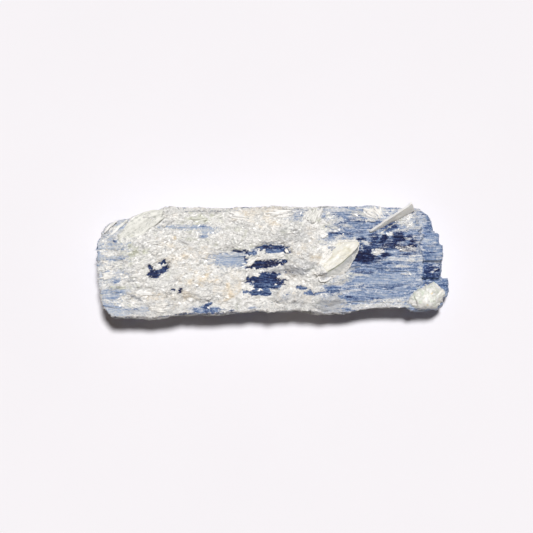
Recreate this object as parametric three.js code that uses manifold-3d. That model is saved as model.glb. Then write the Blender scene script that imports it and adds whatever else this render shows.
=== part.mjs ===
// Kyanite blade cluster: a bundle of parallel kyanite blades, grown together, half buried in a white
// crust of mica and quartz. It is one natural piece, so every shape below is joined into a single solid.
//
// Millimetres. +X runs along the blades towards their stepped, broken tips, +Y runs across them, +Z is up.
// The origin is the centre of the footprint, on the flat cleavage face that the piece rests on.
import * as THREE from "three";
import { mergeVertices } from "three/addons/utils/BufferGeometryUtils.js";
import Module from "manifold-3d";

// Overall size of the finished piece.
const LENGTH = 90;
const WIDTH = 29;
const HEIGHT = 14.6;

// Levels, measured up from the resting face.
const CRUST_TOP_Z = 12.5; // mean top of the crust where it is whole
const BARE_TOP_Z = 10.9; // top of the crust where it lies below the blades' tops
const UNDERSIDE_Z = -0.5; // the crust reaches below the resting face, which then cuts it flat
const SHOULDER_POWER = 3.6; // roundness of the crust's section above its widest level: 2 is an ellipse
const FLANK_POWER = 2.5; // and below it

// The bundle is four layers of blades and a stub between two of them. Each entry lists the edges between
// its blades from front to back, and for each blade where it starts on the left, where its tip breaks off
// on the right, and the slope of that break.
const BLADE_LAP = 0.3; // neighbours run into each other by this much
const BLADE_LEAN = 0.12; // sideways lean of a blade's flanks, for each millimetre of height
const LAYERS = [
  {
    z: [0, 3.2],
    edges: [-9.4, -6.2, -2.6, 1.1, 4.6, 7.6, 10.2],
    starts: [-40.5, -42.6, -43.2, -43.6, -42.8, -41.2],
    tips: [40.6, 43.1, 42.4, 41.9, 40.8, 38.2],
    slopes: [0.6, 0.15, 0.1, -0.1, -0.2, -0.6],
  },
  {
    z: [2.8, 6],
    edges: [-10.8, -7.7, -4.1, 0.1, 4.2, 7.9, 11.6],
    starts: [-41.5, -43.6, -44.2, -44.4, -43.8, -36.5],
    tips: [42.9, 45, 43.2, 42.8, 41.7, 39.6],
    slopes: [0.5, 0.02, 0.1, 0, -0.1, -0.5],
  },
  {
    z: [5.6, 9.1],
    edges: [-11.4, -7.6, -4, 0.2, 3.9, 7.1, 10.8, 13.2],
    starts: [-41.8, -43.5, -44, -44.3, -43.6, -39.8, -28.5],
    tips: [36.4, 36.9, 37.3, 43.4, 42.5, 40.8, 39.4],
    slopes: [0.2, 0.1, -0.35, 0.02, 0.05, -0.2, -0.9],
  },
  {
    z: [5.4, 7.8],
    edges: [-4, 0.2],
    starts: [20],
    tips: [42.9],
    slopes: [0.08],
  },
  {
    z: [8.7, 11.6],
    edges: [-10.3, -6.7, -2.7, 1.4, 5.2, 8.9, 12.4],
    starts: [-37, -40.2, -41, -40.6, -38.6, -30.5],
    tips: [36.2, 37.3, 37.7, 37.1, 37.6, 36.2],
    slopes: [0.2, 0.05, -0.1, 0.15, 0, -0.3],
  },
];

// Plan outline of the crust, left to right: its back edge and its front edge as [x, y].
const BACK_EDGE = [
  [-45, 5.5], [-44, 8.6], [-42.4, 10.4], [-38, 11.4], [-33.6, 12.7], [-30, 13.7], [-27.4, 14.2],
  [-15.5, 13.5], [-3, 13.8], [4, 13.1], [9.5, 14], [24, 14.2], [33, 13.6], [37.4, 11.2],
];
const FRONT_EDGE = [
  [-45, -5], [-43.7, -11.8], [-41.4, -14], [-31.6, -14.5], [-19.9, -13.2], [-13.8, -13.9],
  [-10.2, -12.8], [5, -12.6], [13, -13.2], [17.9, -13.3], [21, -12.1], [33.2, -11.4], [37.4, -11.9],
];

// Level at which the crust is widest, along the piece as [x, z]. Below it the flanks draw in to the
// resting face.
const WAIST = [
  [-45, 4.8], [-30, 5], [-16, 5.4], [-8, 7.8], [4, 7.8], [10, 6.2], [19, 6.4], [23, 8.4], [34, 8.6],
  [37.4, 6.4],
];

// Soft mounds of crust, and hollows where it has broken away from the blades: centre, radii and height.
const MOUNDS = [
  { x: -21, y: -6, rx: 8, ry: 5, h: 1.1 },
  { x: -12, y: 5, rx: 9, ry: 6, h: 0.7 },
  { x: 2, y: 8, rx: 7, ry: 4, h: 0.8 },
  { x: 9.5, y: 0.5, rx: 5, ry: 4.5, h: 1.2 },
  { x: 1.8, y: -9.6, rx: 4.5, ry: 3, h: 1.3 },
  { x: -33, y: 4, rx: 7, ry: 5, h: 0.6 },
  { x: 14, y: -11, rx: 7, ry: 2.2, h: 0.8 },
];
const HOLLOWS = [
  { x: 0.4, y: 3.1, rx: 4.2, ry: 1.2, h: -2.6 },
  { x: -1.4, y: -0.4, rx: 4.8, ry: 1.1, h: -2.6 },
  { x: -1.2, y: -4.7, rx: 5.2, ry: 2.3, h: -2.6 },
  { x: -3.6, y: -7.7, rx: 4, ry: 1.1, h: -2.2 },
  { x: -29, y: -2.6, rx: 2.9, ry: 1.7, h: -2.2 },
  { x: -11.6, y: 1.4, rx: 4, ry: 1.5, h: -1.6 },
];
// The crust thins out to the right of this line, and again beyond the blades' upper tips.
const BARE_FROM_X = 13;
const BARE_BLEND = 5;

const wasm = await Module();
wasm.setup();

// A closed three.js geometry as a solid that can be joined and cut.
function solidOf(geometry) {
  const bare = geometry.clone();
  bare.deleteAttribute("normal");
  bare.deleteAttribute("uv");
  const merged = mergeVertices(bare, 1e-4);
  return new wasm.Manifold(
    new wasm.Mesh({
      numProp: 3,
      vertProperties: merged.attributes.position.array,
      triVerts: new Uint32Array(merged.index.array),
    }),
  );
}

function geometryOf(solid) {
  const mesh = solid.getMesh();
  const geometry = new THREE.BufferGeometry();
  geometry.setAttribute("position", new THREE.BufferAttribute(mesh.vertProperties, 3));
  geometry.setIndex(new THREE.BufferAttribute(mesh.triVerts, 1));
  geometry.computeVertexNormals();
  return geometry;
}

// The shapes joined into one solid. Pockets closed in between them are filled, as the crust fills them.
function joined(solids) {
  const bodies = solids.reduce((whole, next) => whole.add(next)).decompose();
  return bodies.reduce((largest, body) => (body.volume() > largest.volume() ? body : largest));
}

// Moves every vertex of a geometry to the place that the rule gives for it.
function reshaped(geometry, rule) {
  const at = geometry.attributes.position;
  const point = new THREE.Vector3();
  for (let i = 0; i < at.count; i++) {
    point.fromBufferAttribute(at, i);
    rule(point);
    at.setXYZ(i, point.x, point.y, point.z);
  }
  return geometry;
}

// The value at x of a line through [x, value] points.
function along(points, x) {
  const last = points.length - 1;
  if (x <= points[0][0]) return points[0][1];
  if (x >= points[last][0]) return points[last][1];
  const i = points.findIndex((p) => p[0] > x);
  const [a, b] = [points[i - 1], points[i]];
  return THREE.MathUtils.mapLinear(x, a[0], b[0], a[1], b[1]);
}

// Uneven relief of about +-1, the same every run. Stretched along the blades.
function relief(x, y, z) {
  const broad = Math.sin(0.62 * x + 1.3 * Math.sin(0.55 * y + 0.4 * z));
  const middle = Math.sin(1.15 * y - 0.5 * x + 2.1 * Math.sin(0.37 * x + 0.9 * z));
  const fine = Math.sin(2.3 * x + 2.9 * y + 1.7 * z) * Math.sin(1.9 * y - 1.4 * x);
  return 0.45 * broad + 0.35 * middle + 0.35 * fine;
}

// One blade: a long prism with leaning flanks, a bevelled back edge and a sloping broken tip.
function blade(start, tip, front, back, low, high, slope) {
  const lean = BLADE_LEAN * (high - low);
  const bevel = 0.22 * (high - low);
  const section = new THREE.Shape();
  section.moveTo(front, low);
  section.lineTo(back, low);
  section.lineTo(back + lean, high - bevel);
  section.lineTo(back + lean - bevel, high);
  section.lineTo(front + lean, high);
  section.closePath();
  const long = new THREE.ExtrudeGeometry(section, { depth: tip - start, bevelEnabled: false });
  const middle = (front + back) / 2;
  return reshaped(long, (p) => {
    const atTip = p.z > (tip - start) / 2;
    const slant = atTip ? slope * (p.x - middle) : 0.3 * (p.x - middle);
    p.set(start + p.z + slant, p.x, p.y);
  });
}

function bladeBundle() {
  const blades = LAYERS.flatMap(({ z, edges, starts, tips, slopes }) =>
    tips.map((tip, i) => {
      const step = 0.25 * Math.sin(2.4 * i + z[0]); // neighbouring tops stand at slightly different levels
      const front = edges[i] - BLADE_LAP / 2;
      const back = edges[i + 1] + BLADE_LAP / 2;
      return solidOf(blade(starts[i], tip, front, back, z[0], z[1] + step, slopes[i]));
    }),
  );
  return joined(blades);
}

function bump({ x, y, rx, ry, h }, px, py) {
  const far = ((px - x) / rx) ** 2 + ((py - y) / ry) ** 2;
  return h * Math.exp(-(far ** 1.5));
}

// Height of the crust's top over the point (x, y).
function crustTop(x, y) {
  const inwards = x + 0.35 * Math.abs(y - 2);
  const bare = THREE.MathUtils.smoothstep(inwards, BARE_FROM_X - BARE_BLEND, BARE_FROM_X + BARE_BLEND);
  const whole = THREE.MathUtils.lerp(CRUST_TOP_Z, BARE_TOP_Z, bare);
  const raised = MOUNDS.reduce((sum, mound) => sum + bump(mound, x, y), 0);
  const broken = HOLLOWS.reduce((low, hollow) => Math.min(low, bump(hollow, x, y)), 0);
  return whole + raised + broken;
}

// A point of the square [-1, 1] x [-1, 1], pulled in so that the square becomes a rounded one.
function rounded(v, w, power) {
  const reach = Math.max(Math.abs(v), Math.abs(w));
  if (reach === 0) return [0, 0];
  const [a, b] = [v / reach, w / reach];
  const pull = reach * (Math.abs(a) ** power + Math.abs(b) ** power) ** (-1 / power);
  return [a * pull, b * pull];
}

// The crust: a block whose sections are rounded rectangles, widest at the waist, with an uneven surface.
// Its shoulders are squarer than its flanks.
function crust() {
  const [first, last] = [BACK_EDGE[0][0], BACK_EDGE.at(-1)[0]];
  const block = new THREE.BoxGeometry(2, 2, 2, 62, 20, 7);
  return reshaped(block, (p) => {
    const x = THREE.MathUtils.mapLinear(p.x, -1, 1, first, last);
    const [side, up] = rounded(p.y, p.z, p.z > 0 ? SHOULDER_POWER : FLANK_POWER);
    const waist = along(WAIST, x);
    const endRound = 1 - 0.16 * Math.abs(p.x) ** 24;
    const [front, back] = [along(FRONT_EDGE, x), along(BACK_EDGE, x)];
    const y = (front + back) / 2 + (side * (back - front)) / 2;
    const edge = up > 0 ? crustTop(x, y) : UNDERSIDE_Z;
    const z = waist + Math.abs(up) * endRound * (edge - waist);
    const rough = relief(x, y, z);
    const outward = Math.sign(side) * Math.abs(side) ** 3;
    p.x = x + 0.5 * rough * Math.abs(p.x) ** 20 * Math.sign(p.x);
    p.y = y + 0.35 * rough * outward;
    p.z = z + (up > 0 ? 0.42 : 0.2) * rough * Math.abs(up);
  });
}

// A tabular crystal: its outline in plan, with a top that slopes up from its hinge line to its ridge, and
// a side that spreads out below the ridge.
function raisedPlate({ outline, foot, spread, hinge, hingeTop, ridge, ridgeTop }) {
  const plan = new THREE.Shape(outline.map(([x, y]) => new THREE.Vector2(x, y)));
  const start = new THREE.Vector2(...hinge);
  const rise = new THREE.Vector2(...ridge).sub(start);
  const plate = new THREE.ExtrudeGeometry(plan, { depth: 1, bevelEnabled: false });
  return reshaped(plate, (p) => {
    const share = new THREE.Vector2(p.x, p.y).sub(start).dot(rise) / rise.lengthSq();
    const low = p.z < 0.5;
    const skirt = low ? THREE.MathUtils.clamp(share, 0, 1) : 0;
    p.x += skirt * spread[0];
    p.y += skirt * spread[1];
    p.z = low ? foot : hingeTop + share * (ridgeTop - hingeTop);
  });
}

// A flat slab set at a turn about Z, a tilt about its own length and a dip along it.
function slab(size, [x, y, z], { turn = 0, tilt = 0, dip = 0 }) {
  const at = new THREE.Matrix4().makeRotationFromEuler(
    new THREE.Euler(
      THREE.MathUtils.degToRad(tilt),
      THREE.MathUtils.degToRad(dip),
      THREE.MathUtils.degToRad(turn),
      "ZYX",
    ),
  );
  return new THREE.BoxGeometry(...size).applyMatrix4(at.setPosition(x, y, z));
}

// The pale tabular crystal that stands out of the crust, highest along its front right edge.
function paleWedge() {
  return raisedPlate({
    outline: [
      [10.4, -2.5], [11.8, -3.4], [14.2, -2.5], [17.6, -0.6], [20.2, 1.7], [22, 3.4], [22, 4.6],
      [19.6, 5.1], [16.8, 4.7], [13.6, 3.1], [10.9, -0.6],
    ],
    foot: 9,
    spread: [2.2, -2.8],
    hinge: [14, 3.1],
    hingeTop: 12.4,
    ridge: [17.1, -0.8],
    ridgeTop: 14.5,
  });
}

// The thin crystal standing on edge near the back, and the flat plates of pale mica on the left.
function standingAndLyingPlates() {
  return [
    slab([11.6, 0.7, 4.4], [30.1, 10.3, 11.5], { turn: 34, tilt: 20, dip: -7 }),
    slab([9.5, 3.4, 1.1], [-34.8, 8.4, 12.2], { turn: 35, tilt: 8, dip: -3 }),
    slab([7.2, 2.4, 1], [-30.2, 10.9, 11.9], { turn: 24, tilt: 10, dip: 2 }),
    slab([4.2, 2.4, 0.9], [-40.2, -2.8, 12], { turn: 8, tilt: -12, dip: 4 }),
  ];
}

// The knob of stubby quartz crystals at the front right corner.
function quartzKnob() {
  const crystals = [
    { size: [5, 4, 4.2], at: [36.6, -9.6, 8.6], turn: 20 },
    { size: [4.2, 4.4, 4.4], at: [39.4, -7.6, 8.2], turn: -24 },
    { size: [3.8, 3.6, 4], at: [41.1, -9.2, 7], turn: 38 },
    { size: [4.6, 3.2, 3.6], at: [38.6, -10.4, 6.6], turn: 6 },
    { size: [3, 2.6, 3], at: [35, -10.6, 6.8], turn: -14 },
  ];
  return crystals.map(({ size, at, turn }, i) =>
    slab(size, at, { turn, tilt: 12 - 9 * i, dip: 7 * i - 12 }),
  );
}

// Cuts the piece flat on its resting face, then brings it to its overall size about the origin.
function finished(solid) {
  const deep = 20;
  const below = new THREE.BoxGeometry(2 * LENGTH, 2 * LENGTH, deep).translate(0, 0, -deep / 2);
  const geometry = geometryOf(joined([solid.subtract(solidOf(below))]));
  geometry.computeBoundingBox();
  const { min, max } = geometry.boundingBox;
  geometry.translate(-(min.x + max.x) / 2, -(min.y + max.y) / 2, -min.z);
  geometry.scale(LENGTH / (max.x - min.x), WIDTH / (max.y - min.y), HEIGHT / (max.z - min.z));
  return geometry;
}

const whole = joined([
  bladeBundle(),
  ...[crust(), paleWedge(), ...standingAndLyingPlates(), ...quartzKnob()].map(solidOf),
]);

const cluster = new THREE.Mesh(
  finished(whole),
  new THREE.MeshStandardMaterial({ color: 0xc9ccd2, roughness: 0.62, metalness: 0 }),
);
cluster.name = "kyanite_blade_cluster";

const part = new THREE.Group();
part.add(cluster);

export default part;
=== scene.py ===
# Kyanite blade cluster: blue blades under a flaky crust of white mica and quartz.
# Lengths in the tables are millimetres in the part's own frame; meshes are made in metres.
import math

import bmesh
import bpy
import numpy as np
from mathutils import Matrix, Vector


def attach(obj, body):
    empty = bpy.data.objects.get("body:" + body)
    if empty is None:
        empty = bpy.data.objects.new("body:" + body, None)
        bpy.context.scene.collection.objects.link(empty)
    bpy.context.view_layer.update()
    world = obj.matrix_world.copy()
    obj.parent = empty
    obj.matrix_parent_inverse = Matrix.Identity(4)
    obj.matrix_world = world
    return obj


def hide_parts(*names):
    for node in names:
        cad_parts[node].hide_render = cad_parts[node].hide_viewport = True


MM = 0.001
CLUSTER = "kyanite_blade_cluster"

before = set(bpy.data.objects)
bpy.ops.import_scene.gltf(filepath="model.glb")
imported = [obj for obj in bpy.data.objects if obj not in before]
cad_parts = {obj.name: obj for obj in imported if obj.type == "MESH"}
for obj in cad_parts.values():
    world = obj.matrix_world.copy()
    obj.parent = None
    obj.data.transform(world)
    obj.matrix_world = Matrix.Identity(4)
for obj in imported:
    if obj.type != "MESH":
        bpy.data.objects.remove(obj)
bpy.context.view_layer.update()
scene = bpy.context.scene


# ------------------------ camera, light and floor

VIEW_CENTRE = Vector((-1.66, -1.07, 8)) * MM
VIEW_ELEVATION = 85
VIEW_DISTANCE = 0.55
VIEW_WIDTH = 0.1363  # width of the view at its centre, in metres

SUN_TOWARDS = (0.06, 0.235, 0.96)  # nearly overhead, a little behind the piece
SUN_STRENGTH = 3.19
SUN_SPREAD = 9  # degrees
SUN_COLOUR = (1.0, 0.988, 0.975)
ROOM_COLOUR = (1.0, 0.72, 0.44, 1)  # the warm light that fills the shadow
ROOM_STRENGTH = 0.048
BACKDROP_COLOUR = (0.93, 0.92, 0.95, 1)
BACKDROP_STRENGTH = 0.95
FLOOR_COLOURS = ((0.895, 0.885, 0.935, 1), (0.92, 0.91, 0.96, 1))
FLOOR_HALF = 2.0


def set_up_camera():
    data = bpy.data.cameras.new("camera")
    data.sensor_width = 36
    data.lens = data.sensor_width * VIEW_DISTANCE / VIEW_WIDTH
    data.clip_start = 0.01
    data.clip_end = 20
    camera = bpy.data.objects.new("camera", data)
    scene.collection.objects.link(camera)
    lift = math.radians(VIEW_ELEVATION)
    back = Vector((0, -math.cos(lift), math.sin(lift)))
    camera.location = VIEW_CENTRE + back * VIEW_DISTANCE
    camera.rotation_euler = (math.radians(90 - VIEW_ELEVATION), 0, 0)
    scene.camera = camera


def add_sun():
    data = bpy.data.lights.new("key light", "SUN")
    data.energy = SUN_STRENGTH
    data.angle = math.radians(SUN_SPREAD)
    data.color = SUN_COLOUR
    sun = bpy.data.objects.new("key light", data)
    sun.rotation_euler = Vector(SUN_TOWARDS).to_track_quat("Z", "Y").to_euler()
    scene.collection.objects.link(sun)


def set_up_light():
    """One sun, and a room that fills the shadow faintly but is seen as a bright backdrop."""
    scene.view_settings.view_transform = "Standard"
    add_sun()
    world = bpy.data.worlds.new("soft room")
    world.use_nodes = True
    tree = world.node_tree
    room = tree.nodes["Background"]
    room.inputs["Color"].default_value = ROOM_COLOUR
    room.inputs["Strength"].default_value = ROOM_STRENGTH
    seen = tree.nodes.new("ShaderNodeBackground")
    seen.inputs["Color"].default_value = BACKDROP_COLOUR
    seen.inputs["Strength"].default_value = BACKDROP_STRENGTH
    ray = tree.nodes.new("ShaderNodeLightPath")
    mix = tree.nodes.new("ShaderNodeMixShader")
    tree.links.new(ray.outputs["Is Camera Ray"], mix.inputs["Fac"])
    tree.links.new(room.outputs[0], mix.inputs[1])
    tree.links.new(seen.outputs[0], mix.inputs[2])
    tree.links.new(mix.outputs[0], tree.nodes["World Output"].inputs["Surface"])
    scene.world = world


# ------------------------ node helpers


def enabled(sockets, name=None):
    """The first socket in use, or the one of that name."""
    return next(s for s in sockets if s.enabled and name in (None, s.name))


def out(node, name):
    return enabled(node.outputs, name)


def put(tree, value, socket):
    """Sets a socket to a value, or feeds it from another node."""
    if isinstance(value, bpy.types.Node):
        value = enabled(value.outputs)
    if isinstance(value, bpy.types.NodeSocket):
        tree.links.new(value, socket)
    else:
        socket.default_value = value


def add(tree, kind, inputs=None, **settings):
    """A node with its settings and its inputs, each a value or another node's output."""
    node = tree.nodes.new(kind)
    for name, value in settings.items():
        setattr(node, name, value)
    for key, value in (inputs or {}).items():
        put(tree, value, node.inputs[key] if isinstance(key, int) else enabled(node.inputs, key))
    return node


def maths(tree, operation, a, b=0.0, clamp=False):
    return add(tree, "ShaderNodeMath", {0: a, 1: b}, operation=operation, use_clamp=clamp)


def times(tree, a, b):
    return maths(tree, "MULTIPLY", a, b)


def plus(tree, a, b):
    return maths(tree, "ADD", a, b)


def centred(tree, value, gain):
    """A value from 0 to 1, brought to swing about nothing."""
    return times(tree, maths(tree, "SUBTRACT", value, 0.5), gain)


def vector_maths(tree, operation, a, b):
    """Vectors a and b joined by the operation; SCALE takes a number for b."""
    second = "Scale" if operation == "SCALE" else 1
    return add(tree, "ShaderNodeVectorMath", {0: a, second: b}, operation=operation)


def noise_node(tree, where, scale, detail, roughness=0.5):
    inputs = {"Vector": where, "Scale": scale, "Detail": detail, "Roughness": roughness}
    return add(tree, "ShaderNodeTexNoise", inputs)


def noise_value(tree, where, scale, detail, roughness=0.5):
    return out(noise_node(tree, where, scale, detail, roughness), "Fac")


def vector_of(tree, x=0.0, y=0.0, z=0.0):
    return add(tree, "ShaderNodeCombineXYZ", {"X": x, "Y": y, "Z": z})


def mixed(tree, share, a, b):
    """Colour a, or b where share is 1."""
    return out(add(tree, "ShaderNodeMix", {"Factor": share, "A": a, "B": b}, data_type="RGBA"), "Result")


def mixed_value(tree, share, a, b):
    """Number a, or b where share is 1."""
    return out(add(tree, "ShaderNodeMix", {"Factor": share, "A": a, "B": b}), "Result")


def between(tree, value, low, high):
    """0 where value is low, 1 where it is high, with a smooth step."""
    limits = {"Value": value, "From Min": low, "From Max": high, "To Min": 0.0, "To Max": 1.0}
    return add(tree, "ShaderNodeMapRange", limits, interpolation_type="SMOOTHSTEP")


def blend(tree, a, b, share):
    """A share of value a, and b for the rest."""
    return plus(tree, times(tree, a, share), times(tree, b, 1 - share))


def ranged(tree, share, low, high):
    """low where share is 0, high where it is 1."""
    return plus(tree, times(tree, share, high - low), low)


def ramp(tree, value, stops):
    node = add(tree, "ShaderNodeValToRGB", {"Fac": value})
    points = node.color_ramp.elements
    while len(points) < len(stops):
        points.new(0.5)
    for point, (place, colour) in zip(points, stops):
        point.position = place
        point.color = (*colour, 1)
    return node


def attribute(tree, name):
    return out(add(tree, "ShaderNodeAttribute", attribute_name=name), "Fac")


def new_group(name, inputs, outputs):
    """An empty node group and its input and output nodes. Sockets are (name, kind, value)."""
    tree = bpy.data.node_groups.new(name, "ShaderNodeTree")
    for socket_name, kind, value in inputs:
        socket = tree.interface.new_socket(name=socket_name, in_out="INPUT", socket_type=kind)
        if value is not None:
            socket.default_value = value
    for socket_name, kind in outputs:
        tree.interface.new_socket(name=socket_name, in_out="OUTPUT", socket_type=kind)
    return tree, tree.nodes.new("NodeGroupInput"), tree.nodes.new("NodeGroupOutput")


def place(tree, group, inputs):
    return add(tree, "ShaderNodeGroup", inputs, node_tree=group)


FLOAT = "NodeSocketFloat"
COLOUR = "NodeSocketColor"
VECTOR = "NodeSocketVector"


# ------------------------ finishes shared by the materials


def striation_group():
    """Fine lines that run along the blades: a streak value and its relief."""
    tree, given, made = new_group(
        "blade striation",
        [("Place", VECTOR, None), ("Length", FLOAT, 9.0), ("Spacing", FLOAT, 0.7), ("Wander", FLOAT, 0.4)],
        [("Streak", FLOAT), ("Height", FLOAT)],
    )
    where = out(given, "Place")
    bend = noise_node(tree, where, 0.11, 1.0)
    drift = vector_maths(tree, "SCALE", out(bend, "Color"), out(given, "Wander"))
    bent = vector_maths(tree, "ADD", where, drift)
    size = vector_of(tree, out(given, "Length"), out(given, "Spacing"), out(given, "Spacing"))
    scaled = vector_maths(tree, "DIVIDE", bent, size)
    broad = noise_value(tree, scaled, 1.0, 3.0, 0.6)
    fine = noise_value(tree, scaled, 2.7, 2.0, 0.7)
    put(tree, broad, made.inputs["Streak"])
    put(tree, blend(tree, broad, fine, 0.5), made.inputs["Height"])
    return tree


def grain_group():
    """The crust's fine flakes and crumbs: a speckle value, painted shade in the gaps between them and their
    relief.
    """
    tree, given, made = new_group(
        "mica grain",
        [("Place", VECTOR, None), ("Flake Size", FLOAT, 0.9)],
        [("Speckle", FLOAT), ("Gap", FLOAT), ("Height", FLOAT)],
    )
    where = out(given, "Place")
    stir = noise_node(tree, where, 0.9, 2.0)
    moved = vector_maths(tree, "ADD", where, out(stir, "Color"))
    per_mm = maths(tree, "DIVIDE", 1.0, out(given, "Flake Size"))
    cells = {"Vector": moved, "Scale": per_mm, "Randomness": 1.0}
    flakes = add(tree, "ShaderNodeTexVoronoi", cells, feature="F1")
    borders = add(tree, "ShaderNodeTexVoronoi", cells, feature="DISTANCE_TO_EDGE")
    dust = noise_value(tree, where, 3.4, 3.0, 0.7)
    own = add(tree, "ShaderNodeSeparateColor", {"Color": out(flakes, "Color")})
    put(tree, blend(tree, out(own, "Red"), dust, 0.45), made.inputs["Speckle"])
    # Gap: painted shade, darkest on the borders between flakes
    put(tree, between(tree, out(borders, "Distance"), 0.16, 0.0), made.inputs["Gap"])
    put(tree, blend(tree, dust, out(own, "Green"), 0.6), made.inputs["Height"])
    return tree


FELT_HEADINGS = (-28, 8, 46)


def felt_group():
    """Matted fibres: three headings of fine streaks that give way to one another."""
    tree, given, made = new_group(
        "matted fibres",
        [
            ("Place", VECTOR, None),
            ("Length", FLOAT, 2.0),
            ("Spacing", FLOAT, 0.25),
            ("Patch Size", FLOAT, 1.6),
        ],
        [("Streak", FLOAT), ("Height", FLOAT)],
    )
    where = out(given, "Place")
    size = vector_of(tree, out(given, "Length"), out(given, "Spacing"), out(given, "Spacing"))
    per_patch = maths(tree, "DIVIDE", 1.0, out(given, "Patch Size"))
    felt = None
    for number, heading in enumerate(FELT_HEADINGS):
        turn = {"Vector": where, "Angle": math.radians(heading)}
        headed = add(tree, "ShaderNodeVectorRotate", turn, rotation_type="Z_AXIS")
        scaled = vector_maths(tree, "DIVIDE", headed, size)
        strand = noise_value(tree, scaled, 1.0, 2.0, 0.65)
        if felt is None:
            felt = strand
            continue
        offset = vector_maths(tree, "ADD", where, (31.0 * number, 17.0, 5.0))
        patch = noise_value(tree, offset, per_patch, 1.0)
        felt = mixed_value(tree, between(tree, patch, 0.47, 0.55), felt, strand)
    put(tree, felt, made.inputs["Streak"])
    dust = noise_value(tree, where, 3.0, 2.0)
    put(tree, blend(tree, felt, dust, 0.75), made.inputs["Height"])
    return tree


PALE_TO_NAVY = [
    (0.0, (0.52, 0.57, 0.64)),
    (0.22, (0.335, 0.42, 0.59)),
    (0.42, (0.174, 0.257, 0.447)),
    (0.62, (0.055, 0.102, 0.245)),
    (0.8, (0.016, 0.034, 0.128)),
    (1.0, (0.008, 0.011, 0.05)),
]


def kyanite_group():
    """The blue of the blades, from pale at 0 to nearly black at 1, streaked along their length."""
    tree, given, made = new_group(
        "kyanite blue",
        [("Depth", FLOAT, 0.4), ("Streak", FLOAT, 0.5), ("Contrast", FLOAT, 0.8)],
        [("Color", COLOUR)],
    )
    streak = times(tree, maths(tree, "SUBTRACT", 0.5, out(given, "Streak")), out(given, "Contrast"))
    depth = maths(tree, "ADD", out(given, "Depth"), streak, clamp=True)
    put(tree, out(ramp(tree, depth, PALE_TO_NAVY), "Color"), made.inputs["Color"])
    return tree


def bare_blades_group(striation, kyanite_blue):
    """Bare kyanite: its streaked and specked blue, how much a film of mica hides of it, and its relief."""
    tree, given, made = new_group(
        "bare blades",
        [("Place", VECTOR, None), ("Depth", FLOAT, 0.4), ("Crust", FLOAT, 0.0)],
        [("Color", COLOUR), ("Film", FLOAT), ("Height", FLOAT), ("Specks", FLOAT)],
    )
    where = out(given, "Place")
    long = place(tree, striation, {"Place": where, "Length": 6.0, "Spacing": 0.4, "Wander": 1.8})
    short = place(tree, striation, {"Place": where, "Length": 1.3, "Spacing": 0.26, "Wander": 0.9})
    specks = noise_value(tree, where, 2.4, 2.0, 0.7)
    streak = plus(tree, centred(tree, out(long, "Height"), 2.0), centred(tree, out(short, "Height"), 1.2))
    streak = plus(tree, streak, plus(tree, times(tree, specks, 0.6), 0.2))
    contrast = plus(tree, times(tree, out(given, "Depth"), 1.6), 0.45)
    contrast = maths(tree, "MINIMUM", contrast, 1.15)
    blue = place(tree, kyanite_blue, {"Depth": out(given, "Depth"), "Streak": streak, "Contrast": contrast})
    put(tree, out(blue, "Color"), made.inputs["Color"])
    film = plus(tree, centred(tree, out(long, "Streak"), 2.0), centred(tree, out(short, "Height"), 1.7))
    film = plus(tree, film, centred(tree, specks, 1.3))
    film = between(tree, plus(tree, out(given, "Crust"), film), 0.14, 1.05)
    put(tree, film, made.inputs["Film"])
    height = plus(tree, out(long, "Height"), times(tree, out(short, "Height"), 0.7))
    put(tree, height, made.inputs["Height"])
    put(tree, blend(tree, specks, out(short, "Height"), 0.4), made.inputs["Specks"])
    return tree


GREY_TO_WHITE = [(0.12, (0.5, 0.51, 0.52)), (0.38, (0.82, 0.817, 0.803)), (0.6, (0.955, 0.95, 0.937))]
PEACH = (0.88, 0.78, 0.63, 1)
GREY_GREEN = (0.64, 0.66, 0.54, 1)
# slate grey: the colour of the crust's grey patches and of the painted shade in its cracks and gaps
SLATE = (0.24, 0.26, 0.31, 1)


def crust_group():
    """The crust's colour: white to grey by its speckle, then cream, peach or grey-green by its tint."""
    tree, given, made = new_group(
        "crust colour",
        [("Speckle", FLOAT, 0.5), ("Tint", FLOAT, 0.0), ("Shade", FLOAT, 0.0)],
        [("Color", COLOUR)],
    )
    white = ramp(tree, out(given, "Speckle"), GREY_TO_WHITE)
    warm = between(tree, out(given, "Tint"), 0.0, 1.3)
    cool = between(tree, out(given, "Tint"), -0.05, -1.0)
    tinted = mixed(tree, warm, out(white, "Color"), PEACH)
    tinted = mixed(tree, cool, tinted, GREY_GREEN)
    # Shade takes it towards slate grey: grey patches, and painted shade in cracks and between flakes
    put(tree, mixed(tree, out(given, "Shade"), tinted, SLATE), made.inputs["Color"])
    return tree


def mottled_tint_group():
    """A tint that swings warmer and cooler in blotches a couple of millimetres wide."""
    tree, given, made = new_group(
        "mottled tint", [("Place", VECTOR, None), ("Tint", FLOAT, 0.0)], [("Tint", FLOAT)]
    )
    blotches = noise_value(tree, out(given, "Place"), 0.5, 3.0, 0.65)
    put(tree, plus(tree, out(given, "Tint"), centred(tree, blotches, 2.2)), made.inputs["Tint"])
    return tree


striation = striation_group()
grain = grain_group()
felt = felt_group()
kyanite_blue = kyanite_group()
bare_blades = bare_blades_group(striation, kyanite_blue)
crust_colour = crust_group()
mottled_tint = mottled_tint_group()


def new_material(name):
    material = bpy.data.materials.new(name)
    material.use_nodes = True
    tree = material.node_tree
    return material, tree, tree.nodes["Principled BSDF"]


MILKINESS = 0.35  # how much of the light goes into the white minerals and out again
MILKY_DEPTH = 0.4  # how far, in millimetres
MILKY_REDNESS = (1.0, 0.95, 0.9)  # red light goes a little further in than blue
MILKY_BLUE = (0.62, 0.66, 0.74, 1)  # a film of mica with the blue showing through
MILKY_SHARE = 0.3


def milky(shader, weight=MILKINESS, depth=MILKY_DEPTH):
    """Lets light a little way into a white mineral."""
    shader.inputs["Subsurface Weight"].default_value = weight
    shader.inputs["Subsurface Radius"].default_value = MILKY_REDNESS
    shader.inputs["Subsurface Scale"].default_value = depth * MM


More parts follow.
